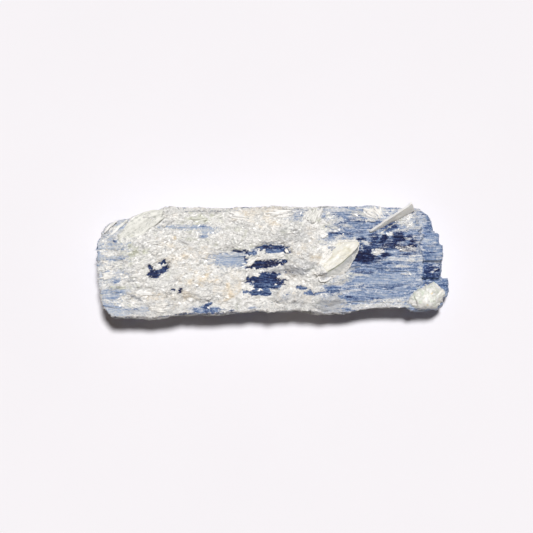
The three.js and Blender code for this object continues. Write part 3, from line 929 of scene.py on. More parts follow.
# Plates and slivers: x, y, z, length, width, thickness, turn, tilt, roll, taper, brightness, tint and shade.
PLATES = [
    # the grey-green plate at the upper left, and fibres along its edges
    (-33.7, 8.6, 12.95, 14.0, 3.5, 0.5, 31, -1, 7, 0.5, 0.4, -0.4, 0.0),
    (-31.0, 11.2, 12.6, 7.4, 1.0, 0.4, 24, 0, 8, 0.5, 0.62, -0.1, 0.0),
    (-34.8, 11.0, 12.4, 7.0, 0.9, 0.4, 28, 0, 8, 0.5, 0.66, 0.0, 0.0),
    (-38.6, 9.2, 12.05, 4.4, 0.5, 0.3, 38, 0, 2, 0.5, 0.5, -0.3, 0.0),
    (-36.2, 3.75, 12.5, 4.2, 0.8, 0.4, -24, 0, 0, 0.5, 0.55, -0.4, 0.0),
    (-34.0, 2.15, 12.6, 5.6, 0.8, 0.4, 18, 2, 6, 0.5, 0.5, -0.45, 0.0),
    (-32.4, 0.95, 12.6, 4.4, 0.7, 0.4, 12, 0, -6, 0.5, 0.62, 0.0, 0.0),
    # fibres that sweep round the back left corner
    (-42.3, 7.9, 12.2, 3.6, 0.45, 0.3, 58, 0, 0, 0.6, 0.7, 0.0, 0.0),
    (-41.2, 9.1, 12.2, 4.2, 0.5, 0.3, 44, 0, 0, 0.6, 0.64, 0.0, 0.0),
    (-40.3, 7.5, 12.3, 4.4, 0.45, 0.3, 40, 0, 0, 0.6, 0.7, 0.0, 0.0),
    (-41.9, 5.9, 12.25, 3.4, 0.45, 0.3, 50, 0, 0, 0.6, 0.6, 0.0, 0.05),
    (-37.6, 5.0, 12.5, 4.6, 0.45, 0.3, -34, 0, 0, 0.6, 0.5, -0.2, 0.05),
    # a brownish chip and greenish streaks behind
    (-27.5, 9.25, 12.55, 2.4, 0.9, 0.25, 27, 2, -4, 0.5, 0.34, 0.3, 0.15),
    (-18.6, 10.55, 12.6, 6.6, 0.9, 0.45, 6, 1, 6, 0.7, 0.48, -0.55, 0.0),
    (-17.6, 9.65, 12.5, 4.4, 0.5, 0.4, -3, 0, 0, 0.7, 0.3, -0.5, 0.1),
    (-20.4, 11.75, 12.3, 4.6, 0.8, 0.4, 10, 0, 0, 0.7, 0.7, 0.1, 0.0),
    # left: a cream flake over a dark hollow, long white flakes and a cream plate
    (-41.6, -3.75, 12.9, 4.4, 1.7, 0.4, 12, 3, 6, 0.5, 0.66, 0.2, 0.0),
    (-38.0, -3.15, 12.6, 3.4, 0.9, 0.35, 4, 0, 0, 0.6, 0.6, 0.0, 0.0),
    (-33.4, -8.25, 12.7, 8.8, 0.7, 0.3, -4, 1, 4, 0.6, 0.7, 0.0, 0.0),
    (-38.6, -6.75, 12.7, 5.6, 0.9, 0.4, -5, 0, 8, 0.6, 0.36, -0.6, 0.0),
    (-28.7, -11.95, 12.6, 6.2, 2.4, 0.35, 4, 1, 5, 0.4, 0.42, 0.3, 0.0),
    (-29.2, -13.15, 12.2, 5.6, 0.8, 0.4, 3, 0, 14, 0.5, 0.5, 0.15, 0.0),
    (-40.8, 1.75, 12.4, 4.4, 0.8, 0.35, 16, 0, 0, 0.6, 0.7, 0.05, 0.0),
    (-39.6, 3.95, 12.4, 3.6, 0.9, 0.4, -14, 0, 0, 0.6, 0.62, 0.12, 0.0),
    (-37.2, -1.75, 12.5, 4.0, 0.5, 0.35, 2, 0, 0, 0.7, 0.3, -0.2, 0.15),
    # the middle: shards between the windows
    (-5.6, -0.35, 12.8, 3.6, 1.1, 0.5, 54, 6, 0, 0.4, 0.62, 0.2, 0.0),
    (-4.6, -3.35, 12.5, 3.0, 0.8, 0.35, -22, 2, 0, 0.5, 0.75, 0.0, 0.0),
    (-3.6, 1.95, 12.7, 1.8, 0.9, 0.5, 70, 4, 0, 0.4, 0.66, 0.1, 0.0),
    (-0.4, 1.15, 12.6, 2.6, 0.9, 0.5, -12, 4, 0, 0.4, 0.6, 0.1, 0.0),
    (2.0, 1.45, 12.7, 2.4, 1.0, 0.5, 24, 3, 0, 0.4, 0.62, 0.1, 0.0),
    (3.4, 2.55, 12.7, 1.8, 0.7, 0.4, -60, 4, 0, 0.5, 0.66, 0.0, 0.0),
    (-2.6, -9.65, 12.5, 2.0, 1.2, 0.5, 50, 0, 0, 0.4, 0.74, 0.0, 0.0),
    # behind the middle: greenish plates
    (10.3, 11.35, 12.75, 4.2, 1.9, 0.5, 62, 0, 0, 0.2, 0.5, -0.3, 0.0),
    (8.9, 11.95, 12.7, 3.4, 1.0, 0.5, 56, 0, 6, 0.4, 0.58, -0.2, 0.0),
    (11.8, 11.75, 12.6, 3.6, 0.6, 0.45, 70, 0, 0, 0.4, 0.62, -0.1, 0.0),
    (1.8, 12.0, 12.6, 7.4, 1.9, 0.4, 3, 0, 4, 0.5, 0.62, 0.1, 0.0),
    (-8.8, 11.6, 12.6, 5.4, 1.7, 0.4, -8, 0, 4, 0.5, 0.62, 0.12, 0.0),
    (12.8, 6.85, 12.3, 2.6, 2.0, 0.5, 20, 0, 0, 0.4, 0.85, 0.0, 0.0),
    # a cream plate beside the pale tabular crystal, and bright slivers in front of it
    (12.5, 0.9, 13.35, 6.6, 3.1, 0.35, 43, 0, 0, 0.5, 0.62, 0.3, 0.0),
    (11.9, -4.9, 13.2, 1.7, 0.36, 0.3, -58, 0, 0, 0.3, 1.0, 0.0, 0.0),
    (12.9, -5.2, 13.2, 1.9, 0.36, 0.3, 8, 0, 0, 0.3, 1.0, 0.0, 0.0),
    (14.1, -4.65, 13.2, 1.8, 0.36, 0.3, 42, 0, 0, 0.3, 1.0, 0.0, 0.0),
    # the fan behind the right field
    (26.2, 12.45, 11.25, 4.0, 1.2, 0.3, 133, 0, 0, 0.3, 0.46, 0.3, 0.04),
    (26.8, 12.55, 11.3, 3.8, 1.0, 0.3, 119, 0, 0, 0.3, 0.54, 0.25, 0.0),
    (25.6, 12.05, 11.25, 4.2, 1.0, 0.3, 149, 0, 0, 0.3, 0.5, 0.2, 0.04),
    (27.4, 12.55, 11.25, 3.2, 0.7, 0.3, 104, 0, 0, 0.3, 0.56, 0.1, 0.0),
    (25.0, 11.65, 11.15, 4.2, 0.7, 0.3, 165, 0, 0, 0.3, 0.5, 0.1, 0.04),
    (24.4, 13.05, 11.15, 3.4, 0.7, 0.3, 176, 0, 0, 0.3, 0.52, 0.25, 0.0),
]

PALE = 0.5  # a patch of blue paler than this fades out; a darker one is broken off


def cos_sin(degrees):
    return math.cos(math.radians(degrees)), math.sin(math.radians(degrees))


def along_across(p, x, y, turn):
    """How far points p lie along and across a line through (x, y) that is turned in plan."""
    c, s = cos_sin(turn)
    dx, dy = p[:, 0] - x, p[:, 1] - y
    return dx * c + dy * s, dy * c - dx * s


def patch_weight(p, patch, ragged, soft=False):
    """1 inside a patch and 0 outside it, with a ragged edge or a soft one."""
    x, y, half_long, half_wide, turn = patch[:5]
    along, across = along_across(p, x, y, turn)
    far = np.hypot(along / half_long, across / half_wide)
    ragged = ragged * min(1, 0.35 + 0.8 * half_wide)
    return smoothstep(1.5, 0.45, far + ragged) if soft else smoothstep(1.3, 0.8, far + ragged)


def painted(field, p, patches, column, ragged):
    """The field with each patch's own value painted over it."""
    for patch in patches:
        soft = len(patch) < 7 or (patch[6] < PALE and patch[5] < 1)
        weight = patch_weight(p, patch, ragged, soft)
        field = field + weight * (patch[column] - field)
    return field


def surface_fields(p, up):
    """What lies where on the surface at points p: crust cover, depth of blue, tint, shade, whether it is in
    the bare field and how streaky it is. up is 1 on the top and 0 on the flanks."""
    flat = p * (1, 1, 0)
    ragged = 0.34 * noise(flat, (1.6, 0.6, 1), 3, 4) + 0.28 * noise(flat, (0.6, 0.35, 1), 5, 2)
    streaks = noise(flat, (7, 0.55, 1), 7)
    films = noise(flat, (4.5, 0.8, 1), 11) + 0.5 * noise(flat, (1.1, 0.5, 1), 12, 2)
    reach = p[:, 0] + 1.6 * noise(flat, 3, 15) + 1.2 * noise(flat, (3, 0.8, 1), 16)
    in_field = smoothstep(FIELD_FROM_X - 1.8, FIELD_FROM_X + 1.8, reach)
    veil = 0.48 * smoothstep(-31, -39, p[:, 0]) * smoothstep(-0.6, 0.8, noise(flat, (4.5, 0.8, 1), 19, 3))
    crust = painted(1 - veil, p, PATCHES, 5, ragged)
    depth = painted(0.32 - 0.22 * smoothstep(-31, -38, p[:, 0]), p, PATCHES, 6, ragged)
    near_crust = 0.45 * smoothstep(FIELD_FROM_X + 9, FIELD_FROM_X, p[:, 0])
    haze = 0.3 * smoothstep(8, 12, p[:, 1])
    calm = smoothstep(0, -3, p[:, 1]) * smoothstep(FIELD_FROM_X + 4, FIELD_FROM_X + 8, p[:, 0])
    film = (0.55 - 0.15 * calm) * smoothstep(-0.1, 1.1, films + near_crust)
    field_crust = painted(0.2 - 0.12 * calm + haze + film, p, FIELD_PATCHES, 5, ragged)
    field_crust = field_crust + (0.22 - 0.04 * calm) * noise(flat, (0.9, 0.5, 1), 18, 2)
    mottle = noise(flat, (1.5, 0.6, 1), 17, 3)
    field_depth = painted(0.4 - 0.1 * calm + 0.14 * streaks, p, FIELD_PATCHES, 6, ragged) + 0.1 * mottle
    crust = crust + in_field * (field_crust - crust)
    depth = depth + in_field * (field_depth - depth)
    streaky = np.maximum(in_field, smoothstep(-34, -38, p[:, 0]))
    for patch in PATCHES:
        if patch[6] < PALE:
            streaky = np.maximum(streaky, patch_weight(p, patch, -0.35))
    # the flanks: layers of blades and crust, seen edge on
    layers = noise(p * (1, 0.3, 1), (9, 4, 1.1), 21)
    pale_brow = smoothstep(7, 9.5, p[:, 2]) * smoothstep(2, -2, p[:, 1])
    flank_crust = smoothstep(-0.35, 0.35, layers + 0.25 * noise(p, 2.2, 23) + pale_brow)
    flank_crust = flank_crust * (1 - 0.8 * smoothstep(35, 37, p[:, 0]))
    # the flanks by the stepped tips are paler blue: painted light that lifts the shade on their step walls
    flank_depth = 0.42 - 0.32 * smoothstep(36, 38, p[:, 0]) + 0.22 * noise(p, (8, 3, 0.7), 25)
    crust = flank_crust + up * (crust - flank_crust)
    depth = flank_depth + up * (depth - flank_depth)
    blotches = noise(flat, (1.3, 1.0, 1), 33, 3)
    tint = painted(np.zeros(len(p)), p, TINTS, 5, 2.2 * ragged) * (0.62 + 0.7 * blotches)
    tint = tint + 0.3 * noise(flat, (4.5, 3, 1), 31) + 0.04
    clouds = smoothstep(0.1, 1.2, noise(flat, (3.0, 1.3, 1), 35, 4))
    # grey blotches and patches, with painted shade along cracks
    shade = painted(0.15 * clouds, p, GREYS_AND_CRACK_SHADE, 5, ragged)
    return crust, depth, tint * up, shade * up, in_field, streaky


# ------------------------ the body

BODY_GRID = 0.45  # size of the body's faces on the flanks; half of this on top
TOP_LOOKS_UP = 0.2  # least upward part of the normal of a face that counts as the top
TOP_FROM = 5  # and its least height
REST_BAND = 1.2  # the relief fades out over this height above the resting face


def mesh_points(mesh):
    co = np.empty(len(mesh.vertices) * 3)
    mesh.vertices.foreach_get("co", co)
    return co.reshape(-1, 3) / MM


def mesh_normals(mesh):
    normals = np.empty(len(mesh.vertices) * 3)
    mesh.vertex_normals.foreach_get("vector", normals)
    return normals.reshape(-1, 3)


def set_points(mesh, p):
    mesh.vertices.foreach_set("co", (p * MM).astype(np.float32).ravel())
    mesh.update()


def store(mesh, name, values):
    layer = mesh.attributes.new(name, "FLOAT", "POINT")
    layer.data.foreach_set("value", np.asarray(values, np.float32))


def new_object(name, mesh):
    made = bpy.data.objects.new(name, mesh)
    scene.collection.objects.link(made)
    return made


def evaluated_mesh(made):
    """The object's mesh with its modifiers applied; the object is left with that mesh and no modifiers."""
    bpy.context.view_layer.update()
    mesh = bpy.data.meshes.new_from_object(made.evaluated_get(bpy.context.evaluated_depsgraph_get()))
    made.modifiers.clear()
    made.data = mesh
    return mesh


def even_copy(node):
    """A copy of a CAD node, merged and remeshed to even faces, finer on top."""
    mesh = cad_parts[node].data.copy()
    mesh.materials.clear()
    build = bmesh.new()
    build.from_mesh(mesh)
    bmesh.ops.remove_doubles(build, verts=build.verts, dist=1e-6)
    build.to_mesh(mesh)
    build.free()
    made = new_object("kyanite_body", mesh)
    remesh = made.modifiers.new("even faces", "REMESH")
    remesh.mode = "VOXEL"
    remesh.voxel_size = BODY_GRID * MM
    mesh = evaluated_mesh(made)
    build = bmesh.new()
    build.from_mesh(mesh)
    build.normal_update()
    upward = [f for f in build.faces if f.normal.z > TOP_LOOKS_UP]
    top = [f for f in upward if f.calc_center_median().z > TOP_FROM * MM]
    edges = list({e for f in top for e in f.edges})
    bmesh.ops.subdivide_edges(build, edges=edges, cuts=1, use_grid_fill=True)
    bmesh.ops.triangulate(build, faces=[f for f in build.faces if len(f.verts) > 4])
    build.to_mesh(mesh)
    build.free()
    return made


def body_relief(p, crust, in_field, up):
    """How far the surface stands out along its normal: crumbly on crust, splintery on blades, with ledges on
    the flanks."""
    coarse = facet_height(p, (3.0, 1.7, 2.6), 41, 0.26, 0.2)
    fine = facet_height(p @ rotation(30, 0, 0), (1.8, 0.55, 1), 51, 0.16, 0.2)
    finer = facet_height(p @ rotation(-24, 0, 0), (1.8, 0.5, 0.8), 55, 0.12, 0.12)
    crumbs = 0.05 * noise(p, 0.7, 61, 2) + finer
    lumps = 0.36 * noise(p, (7, 4, 4), 65)
    blades = facet_height(p, (11, 1.1, 2.2), 71, 0.1, 0.34)
    splinters = facet_height(p, (5, 0.55, 1.2), 81, 0.08, 0.16)
    ledges = facet_height(p, (16, 12, 1.5), 91, 0.05, 0.9)
    ledges = (ledges - 0.5) * (1 - up) * smoothstep(10.5, 8.5, p[:, 2]) * smoothstep(37, 34, p[:, 0])
    rough = painted(np.ones(len(p)), p, SMOOTH_LUMPS, 5, 0)
    crusty = (coarse + fine + crumbs) * rough + lumps * (1 - 0.7 * in_field)
    bladed = blades + splinters
    film = 0.08 * in_field + 0.1 * (1 - up)
    thin = 1 - 0.65 * in_field
    return crust * (crusty * thin + film) + (1 - crust) * bladed + ledges


def make_room(p):
    """Draws the body's own surface in where a separate crystal stands, so that it stays hidden inside it."""
    sunk = p.copy()
    for x, y, half_long, half_wide, turn, level, share in ROOM_FOR_CRYSTALS:
        along, across = along_across(p, x, y, turn)
        inside = (np.abs(along) < half_long) & (np.abs(across) < half_wide) & (p[:, 2] > level)
        sunk[inside, 2] = level + (p[inside, 2] - level) * share
    return sunk


def make_body():
    made = even_copy(CLUSTER)
    mesh = made.data
    p, normal = mesh_points(mesh), mesh_normals(mesh)
    up = smoothstep(0.1, 0.4, normal[:, 2]) * smoothstep(3.5, 5, p[:, 2])
    p = make_room(p)
    # the top layer's end is broken off unevenly
    near_end = smoothstep(34.5, 37, p[:, 0]) * smoothstep(39.5, 38.2, p[:, 0])
    p[:, 0] += END_RAGGEDNESS * noise(p * (0, 1, 0), 1.3, 97, 3) * near_end
    # the lowest blade runs on behind the quartz knob
    past_knob = smoothstep(-4.6, -6.2, p[:, 1]) * smoothstep(40.6, 42.2, p[:, 0])
    p[:, 1] -= LOWEST_BLADE_SHIFT * past_knob * smoothstep(3, 5, p[:, 2])
    crust, depth, tint, shade, in_field, streaky = surface_fields(p, up)
    crisp = smoothstep(0.3, 0.7, crust)
    # the rounded shoulders are raised to the level of the top, except at the back left corner
    brow = smoothstep(5.8, 8.2, p[:, 2]) * smoothstep(0.0, 0.2, normal[:, 2])
    brow = brow * smoothstep(37.5, 35.5, p[:, 0])
    brow = brow * (1 - smoothstep(-24, -34, p[:, 0]) * smoothstep(4, 8, p[:, 1]))
    full = np.maximum(p[:, 2], CRUST_LEVEL + in_field * (FIELD_LEVEL - CRUST_LEVEL))
    p[:, 2] += brow * (full - p[:, 2])
    lip = smoothstep(FIELD_FROM_X + 2, FIELD_FROM_X + 6, p[:, 0]) * smoothstep(10.7, 11.3, p[:, 2])
    p[:, 2] -= lip * (p[:, 2] - LIP_LEVEL)
    for heap in HEAPS:
        p[:, 2] += heap[5] * up * patch_weight(p, heap, 0, True)
    height = body_relief(p, crisp, in_field, up)
    # the blades in the windows lie a little lower than the crust round them
    sunk = (1 - crisp) * smoothstep(0.4, 0.75, depth) * (1 - in_field)
    p[:, 2] += brow * sunk * (WINDOW_LEVEL - CRUST_LEVEL)
    # the resting face stays flat
    steady = smoothstep(0, REST_BAND, p[:, 2])[:, None]
    p = p + normal * (height[:, None] * steady)
    p[:, 2] = np.maximum(p[:, 2], 0)
    set_points(mesh, p)
    flow = painted(35 * noise(p * (1, 1, 0), 6, 95), p, FLOWS, 5, 0)
    flat_up = smoothstep(0.7, 0.9, normal[:, 2]) * up
    rough = painted(np.ones(len(p)), p, SMOOTH_LUMPS, 5, 0)
    on_crust = flat_up * smoothstep(0.5, 0.9, crust) * (1 - 0.75 * in_field) * rough
    on_flank = (1 - up) * smoothstep(1.5, 3, p[:, 2])
    bare = np.maximum(in_field, 0.5 * smoothstep(-34, -38, p[:, 0])) * smoothstep(0.95, 0.3, crust)
    not_navy = 1 - 0.8 * smoothstep(0.6, 0.8, depth)
    fields = {
        "crust": crust,
        "depth": depth,
        "tint": tint,
        "shade": shade,
        "streaky": streaky,
        "flow": np.radians(flow),
        "for_flakes": on_crust + 0.35 * on_flank * smoothstep(0.5, 0.9, crust),
        "for_fibres": flat_up * smoothstep(0.6, 0.95, crust) * (1 - 0.5 * in_field),
        "for_laths": flat_up * bare * not_navy * smoothstep(38.5, 37.5, p[:, 0]),
    }
    for name, values in fields.items():
        store(mesh, name, values)
    mesh.materials.append(body_material())
    mesh.shade_smooth()
    return made


# ------------------------ flakes, fibres and laths scattered over the body

PER_SQUARE_MM = 1 / MM**2

# The scattered pieces: name, the mask they follow, how many to a square millimetre, length, width and
# thickness, how far they are lifted or sunk, tilt, spread of heading, bend, sides and seed.
SLIVERS = [
    ("wedge_flakes", "for_flakes", 13.0, 0.9, 0.34, 0.1, 0.1, 16.0, 80.0, 0.16, 6, 21),
    ("crust_flakes", "for_flakes", 6.0, 0.85, 0.3, 0.08, 0.05, 15.0, 60.0, 0.14, 6, 5),
    ("crust_fibres", "for_fibres", 7.0, 1.5, 0.13, 0.08, 0.05, 7.0, 28.0, 0.3, 4, 9),
    ("kyanite_laths", "for_laths", 1.5, 2.2, 0.22, 0.1, 0.04, 1.5, 3.0, 0.08, 4, 14),
]
SLIVER_SETTINGS = (
    "Where",
    "Per Square Mm",
    "Length",
    "Width",
    "Thickness",
    "Lift",
    "Tilt",
    "Spread",
    "Bend",
    "Sides",
    "Seed",
    "Material",
)
SOCKET_KINDS = {
    "Where": "NodeSocketString",
    "Sides": "NodeSocketInt",
    "Seed": "NodeSocketInt",
    "Material": "NodeSocketMaterial",
}


def sliver_tree():
    """Geometry nodes: flat prisms scattered over a surface, turned to its flow, tilted and bent a little."""
    tree = bpy.data.node_groups.new("scattered slivers", "GeometryNodeTree")
    tree.interface.new_socket(name="Geometry", in_out="INPUT", socket_type="NodeSocketGeometry")
    for name in SLIVER_SETTINGS:
        tree.interface.new_socket(name=name, in_out="INPUT", socket_type=SOCKET_KINDS.get(name, FLOAT))
    tree.interface.new_socket(name="Geometry", in_out="OUTPUT", socket_type="NodeSocketGeometry")
    given, made = tree.nodes.new("NodeGroupInput"), tree.nodes.new("NodeGroupOutput")

    def lot(low, high, salt):
        limits = {"Min": low, "Max": high, "Seed": plus(tree, out(given, "Seed"), salt)}
        return add(tree, "FunctionNodeRandomValue", limits, data_type="FLOAT")

    def degrees_either_way(name, salt):
        most = maths(tree, "RADIANS", out(given, name))
        return lot(times(tree, most, -1.0), most, salt)

    def sized(name, salt):
        return times(tree, times(tree, out(given, name), MM), lot(0.55, 1.45, salt))

    def named(name):
        return add(tree, "GeometryNodeInputNamedAttribute", {"Name": name}, data_type="FLOAT")

    def rotation_of(angles):
        return add(tree, "FunctionNodeEulerToRotation", {0: angles})

    share = out(named(out(given, "Where")), "Attribute")
    dense = times(tree, out(given, "Per Square Mm"), PER_SQUARE_MM)
    where = {
        "Mesh": out(given, "Geometry"),
        "Density": times(tree, dense, share),
        "Seed": out(given, "Seed"),
    }
    points = add(tree, "GeometryNodeDistributePointsOnFaces", where, distribute_method="RANDOM")
    heading = plus(tree, out(named("flow"), "Attribute"), degrees_either_way("Spread", 1))
    lie = {"Rotation": rotation_of(vector_of(tree, z=heading)), "Vector": out(points, "Normal")}
    lying = add(tree, "FunctionNodeAlignRotationToVector", lie, axis="Z")
    roll = vector_of(tree, degrees_either_way("Tilt", 2), degrees_either_way("Tilt", 3))
    lean = {"Rotation": lying, "Rotate By": rotation_of(roll)}
    facing = add(tree, "FunctionNodeRotateRotation", lean, rotation_space="LOCAL")
    block = {"Vertices": out(given, "Sides"), "Radius": 0.5, "Depth": 1.0}
    prism = add(tree, "GeometryNodeMeshCylinder", block, fill_type="NGON")
    copies = add(
        tree,
        "GeometryNodeInstanceOnPoints",
        {
            "Points": out(points, "Points"),
            "Instance": out(prism, "Mesh"),
            "Rotation": facing,
            "Scale": vector_of(tree, sized("Length", 4), sized("Width", 5), sized("Thickness", 6)),
        },
    )
    lift = vector_of(tree, z=times(tree, times(tree, out(given, "Lift"), MM), lot(-1.0, 1.0, 7)))
    move = {"Instances": copies, "Translation": lift, "Local Space": True}
    lifted = add(tree, "GeometryNodeTranslateInstances", move)
    tone = {"Geometry": lifted, "Name": "own", "Value": lot(0.0, 1.0, 8)}
    toned = add(tree, "GeometryNodeStoreNamedAttribute", tone, data_type="FLOAT", domain="INSTANCE")
    real = add(tree, "GeometryNodeRealizeInstances", {"Geometry": toned})
    spot = vector_maths(tree, "SCALE", tree.nodes.new("GeometryNodeInputPosition"), 1 / MM)
    wobble = out(noise_node(tree, spot, 1.3, 1.0), "Color")
    wobble = vector_maths(tree, "SUBTRACT", wobble, (0.5, 0.5, 0.5))
    wobble = vector_maths(tree, "SCALE", wobble, times(tree, out(given, "Bend"), 2 * MM))
    bent = add(tree, "GeometryNodeSetPosition", {"Geometry": real, "Offset": wobble})
    flat = add(tree, "GeometryNodeSetShadeSmooth", {"Geometry": bent, "Shade Smooth": False})
    done = add(tree, "GeometryNodeSetMaterial", {"Geometry": flat, "Material": out(given, "Material")})
    put(tree, out(done, "Geometry"), made.inputs["Geometry"])
    return tree


def scattered(name, host, tree, settings):
    """A plain mesh of what the tree grows over the host's surface."""
    made = new_object(name, host.data.copy())
    modifier = made.modifiers.new("slivers", "NODES")
    modifier.node_group = tree
    for item in tree.interface.items_tree:
        if item.in_out == "INPUT" and item.name in settings:
            modifier[item.identifier] = settings[item.name]
    evaluated_mesh(made)
    return made


# ------------------------ crystals and plates set one by one


def plain_mesh(name, points_mm, faces, material, fields):
    mesh = bpy.data.meshes.new(name)
    mesh.from_pydata([tuple(v) for v in points_mm * MM], [], faces)
    mesh.validate()
    for field, values in fields.items():
        if np.ndim(values) == 2:
            layer = mesh.attributes.new(field, "FLOAT_VECTOR", "POINT")
            layer.data.foreach_set("vector", np.asarray(values, np.float32).ravel())
        else:
            store(mesh, field, values)
    mesh.materials.append(material)
    return new_object(name, mesh)


def divided_cube(cuts):
    """The points and faces of a cube one unit wide, with each side cut into a grid."""
    build = bmesh.new()
    bmesh.ops.create_cube(build, size=1)
    bmesh.ops.subdivide_edges(build, edges=build.edges[:], cuts=cuts, use_grid_fill=True)
    points = np.array([v.co[:] for v in build.verts])
    build.verts.index_update()
    faces = [[v.index for v in f.verts] for f in build.faces]
    build.free()
    return points, faces


def rotation(turn, tilt, roll):
    """Roll about the length, tilt nose up, then turn in plan; degrees."""
    (ct, st), (cn, sn), (cr, sr) = cos_sin(turn), cos_sin(-tilt), cos_sin(roll)
    about_z = np.array([[ct, -st, 0], [st, ct, 0], [0, 0, 1]])
    about_y = np.array([[cn, 0, sn], [0, 1, 0], [-sn, 0, cn]])
    about_x = np.array([[1, 0, 0], [0, cr, -sr], [0, sr, cr]])
    return about_z @ about_y @ about_x


def plate_points(cube, size, seed, taper):
    """A cube's points drawn out to a lath or plate, tapered and ragged at its ends and ridged lengthwise."""
    u, v, w = cube.T
    here = cube * size
    lengthwise = here * (1, 0, 0)
    spread = 1 - taper * np.abs(2 * u) ** 2.2
    ends = noise(np.stack([np.sign(u) * 9, here[:, 1], 0 * u], -1), 0.7, seed, 2)
    x = here[:, 0] * (1 - 0.12 * (1 + ends) * np.abs(2 * u) ** 3)
    y = here[:, 1] * spread + 0.12 * size[1] * noise(lengthwise, size[0] / 3, seed + 2, 2)
    ridges = 0.22 * noise(here * (1, 5, 0), 2.4, seed + 4, 2)
    bow = 0.12 * noise(lengthwise, size[0] / 2, seed + 6, 1)
    thin = 1 - 0.35 * np.abs(2 * v) ** 3
    z = here[:, 2] * thin * (1 + 0.5 * np.sign(w) * ridges) + bow + (w > 0) * ridges * 0.4
    return np.stack([x, y, z], -1)


LATH_WIDTH = 0.42  # a plate is a bundle of laths about this wide
PLATE_BED = 0.26  # how deep the plates are bedded in the crust
BROAD_PLATE = 3.0  # a plate this wide or wider is one whole sheet
BROAD_CUTS, LATH_CUTS = 15, 5


def make_plates():
    """The plates, slivers and fans of the crust that can be told apart, most of them bundles of laths."""
    points, faces, lengthwise = [], [], []
    fields = {"speckle": [], "tint": [], "shade": []}
    count = 0
    for number, plate in enumerate(PLATES):
        x, y, z, long, wide, thick, turn, tilt, roll, taper, speckle, tint, shade = plate
        broad = wide >= BROAD_PLATE
        laths = 1 if broad else max(1, round(wide / LATH_WIDTH))
        cube, cube_faces = divided_cube(BROAD_CUTS if broad else LATH_CUTS)
        for lath in range(laths):
            lots = lattice_random(np.array([[number, lath, k] for k in range(6)]), 7)
            side = (lath + 0.5) / laths - 0.5
            reach = long if broad else long * (1 - taper * abs(2 * side) ** 1.6) * (0.72 + 0.4 * lots[0])
            size = np.array([reach, 1.35 * wide / laths, thick * (0.5 + 0.4 * lots[1])])
            local = plate_points(cube, size, 300 + 11 * (number + lath), taper)
            if not broad:
                local = local @ rotation(7 * (lots[2] - 0.5), 0, 10 * (lots[3] - 0.5)).T
                local = local + (0.22 * long * (lots[4] - 0.5), side * wide, 0.2 * thick * (lots[5] - 0.5))
            points.append(local @ rotation(turn, tilt, roll).T + (x, y, z - PLATE_BED))
            lengthwise.append(local + (13.7 * number, 5.1 * number, 0))
            faces += [[count + k for k in face] for face in cube_faces]
            count += len(cube)
            own = 0.14 * (lots[1] - 0.5)
            for name, value in (("speckle", speckle + own), ("tint", tint), ("shade", shade)):
                fields[name].append(np.full(len(cube), value))
    fields = {name: np.concatenate(values) for name, values in fields.items()}
    fields["lengthwise"] = np.concatenate(lengthwise)
    made = plain_mesh("mica_plates", np.concatenate(points), faces, plate_material("mica plate", 0.0), fields)
    made.data.shade_smooth()
    return made


def along_outline(outline, count):
    """Evenly spaced points round a closed outline, and the share of the way round at each of its corners."""
    corners = np.array(outline, float)
    steps = np.linalg.norm(np.roll(corners, -1, axis=0) - corners, axis=1)
    at = np.concatenate([[0], np.cumsum(steps)]) / steps.sum()
    closed = np.vstack([corners, corners[:1]])
    want = np.arange(count) / count
    return np.stack([np.interp(want, at, closed[:, k]) for k in range(2)], -1), at


def rings_to_mesh(rings, first, last):
    """Points and faces of a closed skin: a pole, the rings one after another, and a pole."""
    count = len(rings[0])
    points = np.vstack([first[None], *rings, last[None]])
    faces = [(0, 1 + k, 1 + (k + 1) % count) for k in range(count)]
    for ring in range(len(rings) - 1):
        a, b = 1 + ring * count, 1 + (ring + 1) * count
        faces += [(a + k, b + k, b + (k + 1) % count, a + (k + 1) % count) for k in range(count)]
    end, tail = len(points) - 1, 1 + (len(rings) - 1) * count
    faces += [(end, tail + (k + 1) % count, tail + k) for k in range(count)]
    return points, faces


# The pale tabular crystal: each corner of its top, and the foot of its side below that corner.
WEDGE_CORNERS = [
    ((21.5, 4.6), (21.7, 4.75)),
    ((21.75, 4.1), (21.9, 3.9)),
    ((21.3, 3.2), (21.6, 2.5)),
    ((19.8, 1.6), (20.5, 0.4)),
    ((17.65, -0.3), (19.1, -2.1)),
    ((15.6, -1.8), (17.3, -3.9)),
    ((13.5, -3.0), (14.8, -4.6)),
    ((11.5, -3.6), (12.0, -4.3)),
    ((10.1, -2.9), (9.6, -3.1)),
    ((10.6, -0.8), (9.9, -0.9)),
    ((11.8, 1.3), (11.1, 1.6)),
    ((13.5, 2.9), (13.0, 3.4)),
    ((14.8, 3.7), (14.5, 4.3)),
    ((16.8, 4.6), (16.7, 5.2)),
    ((19.3, 4.8), (19.3, 5.4)),
    ((21.1, 4.8), (21.3, 5.2)),
]
WEDGE_HINGE = (14.0, 3.1, 12.3)  # a point on the low side of its top
WEDGE_RISE = (0.62, -0.785)  # the way its top rises
WEDGE_SLOPE = 0.42
WEDGE_RIM = 0.38  # thickness of the top plate where it overhangs the side
WEDGE_FOOT = 11.7
WEDGE_STEPS = 220  # points round it
WEDGE_TOP_RINGS, WEDGE_SIDE_RINGS = 26, 12


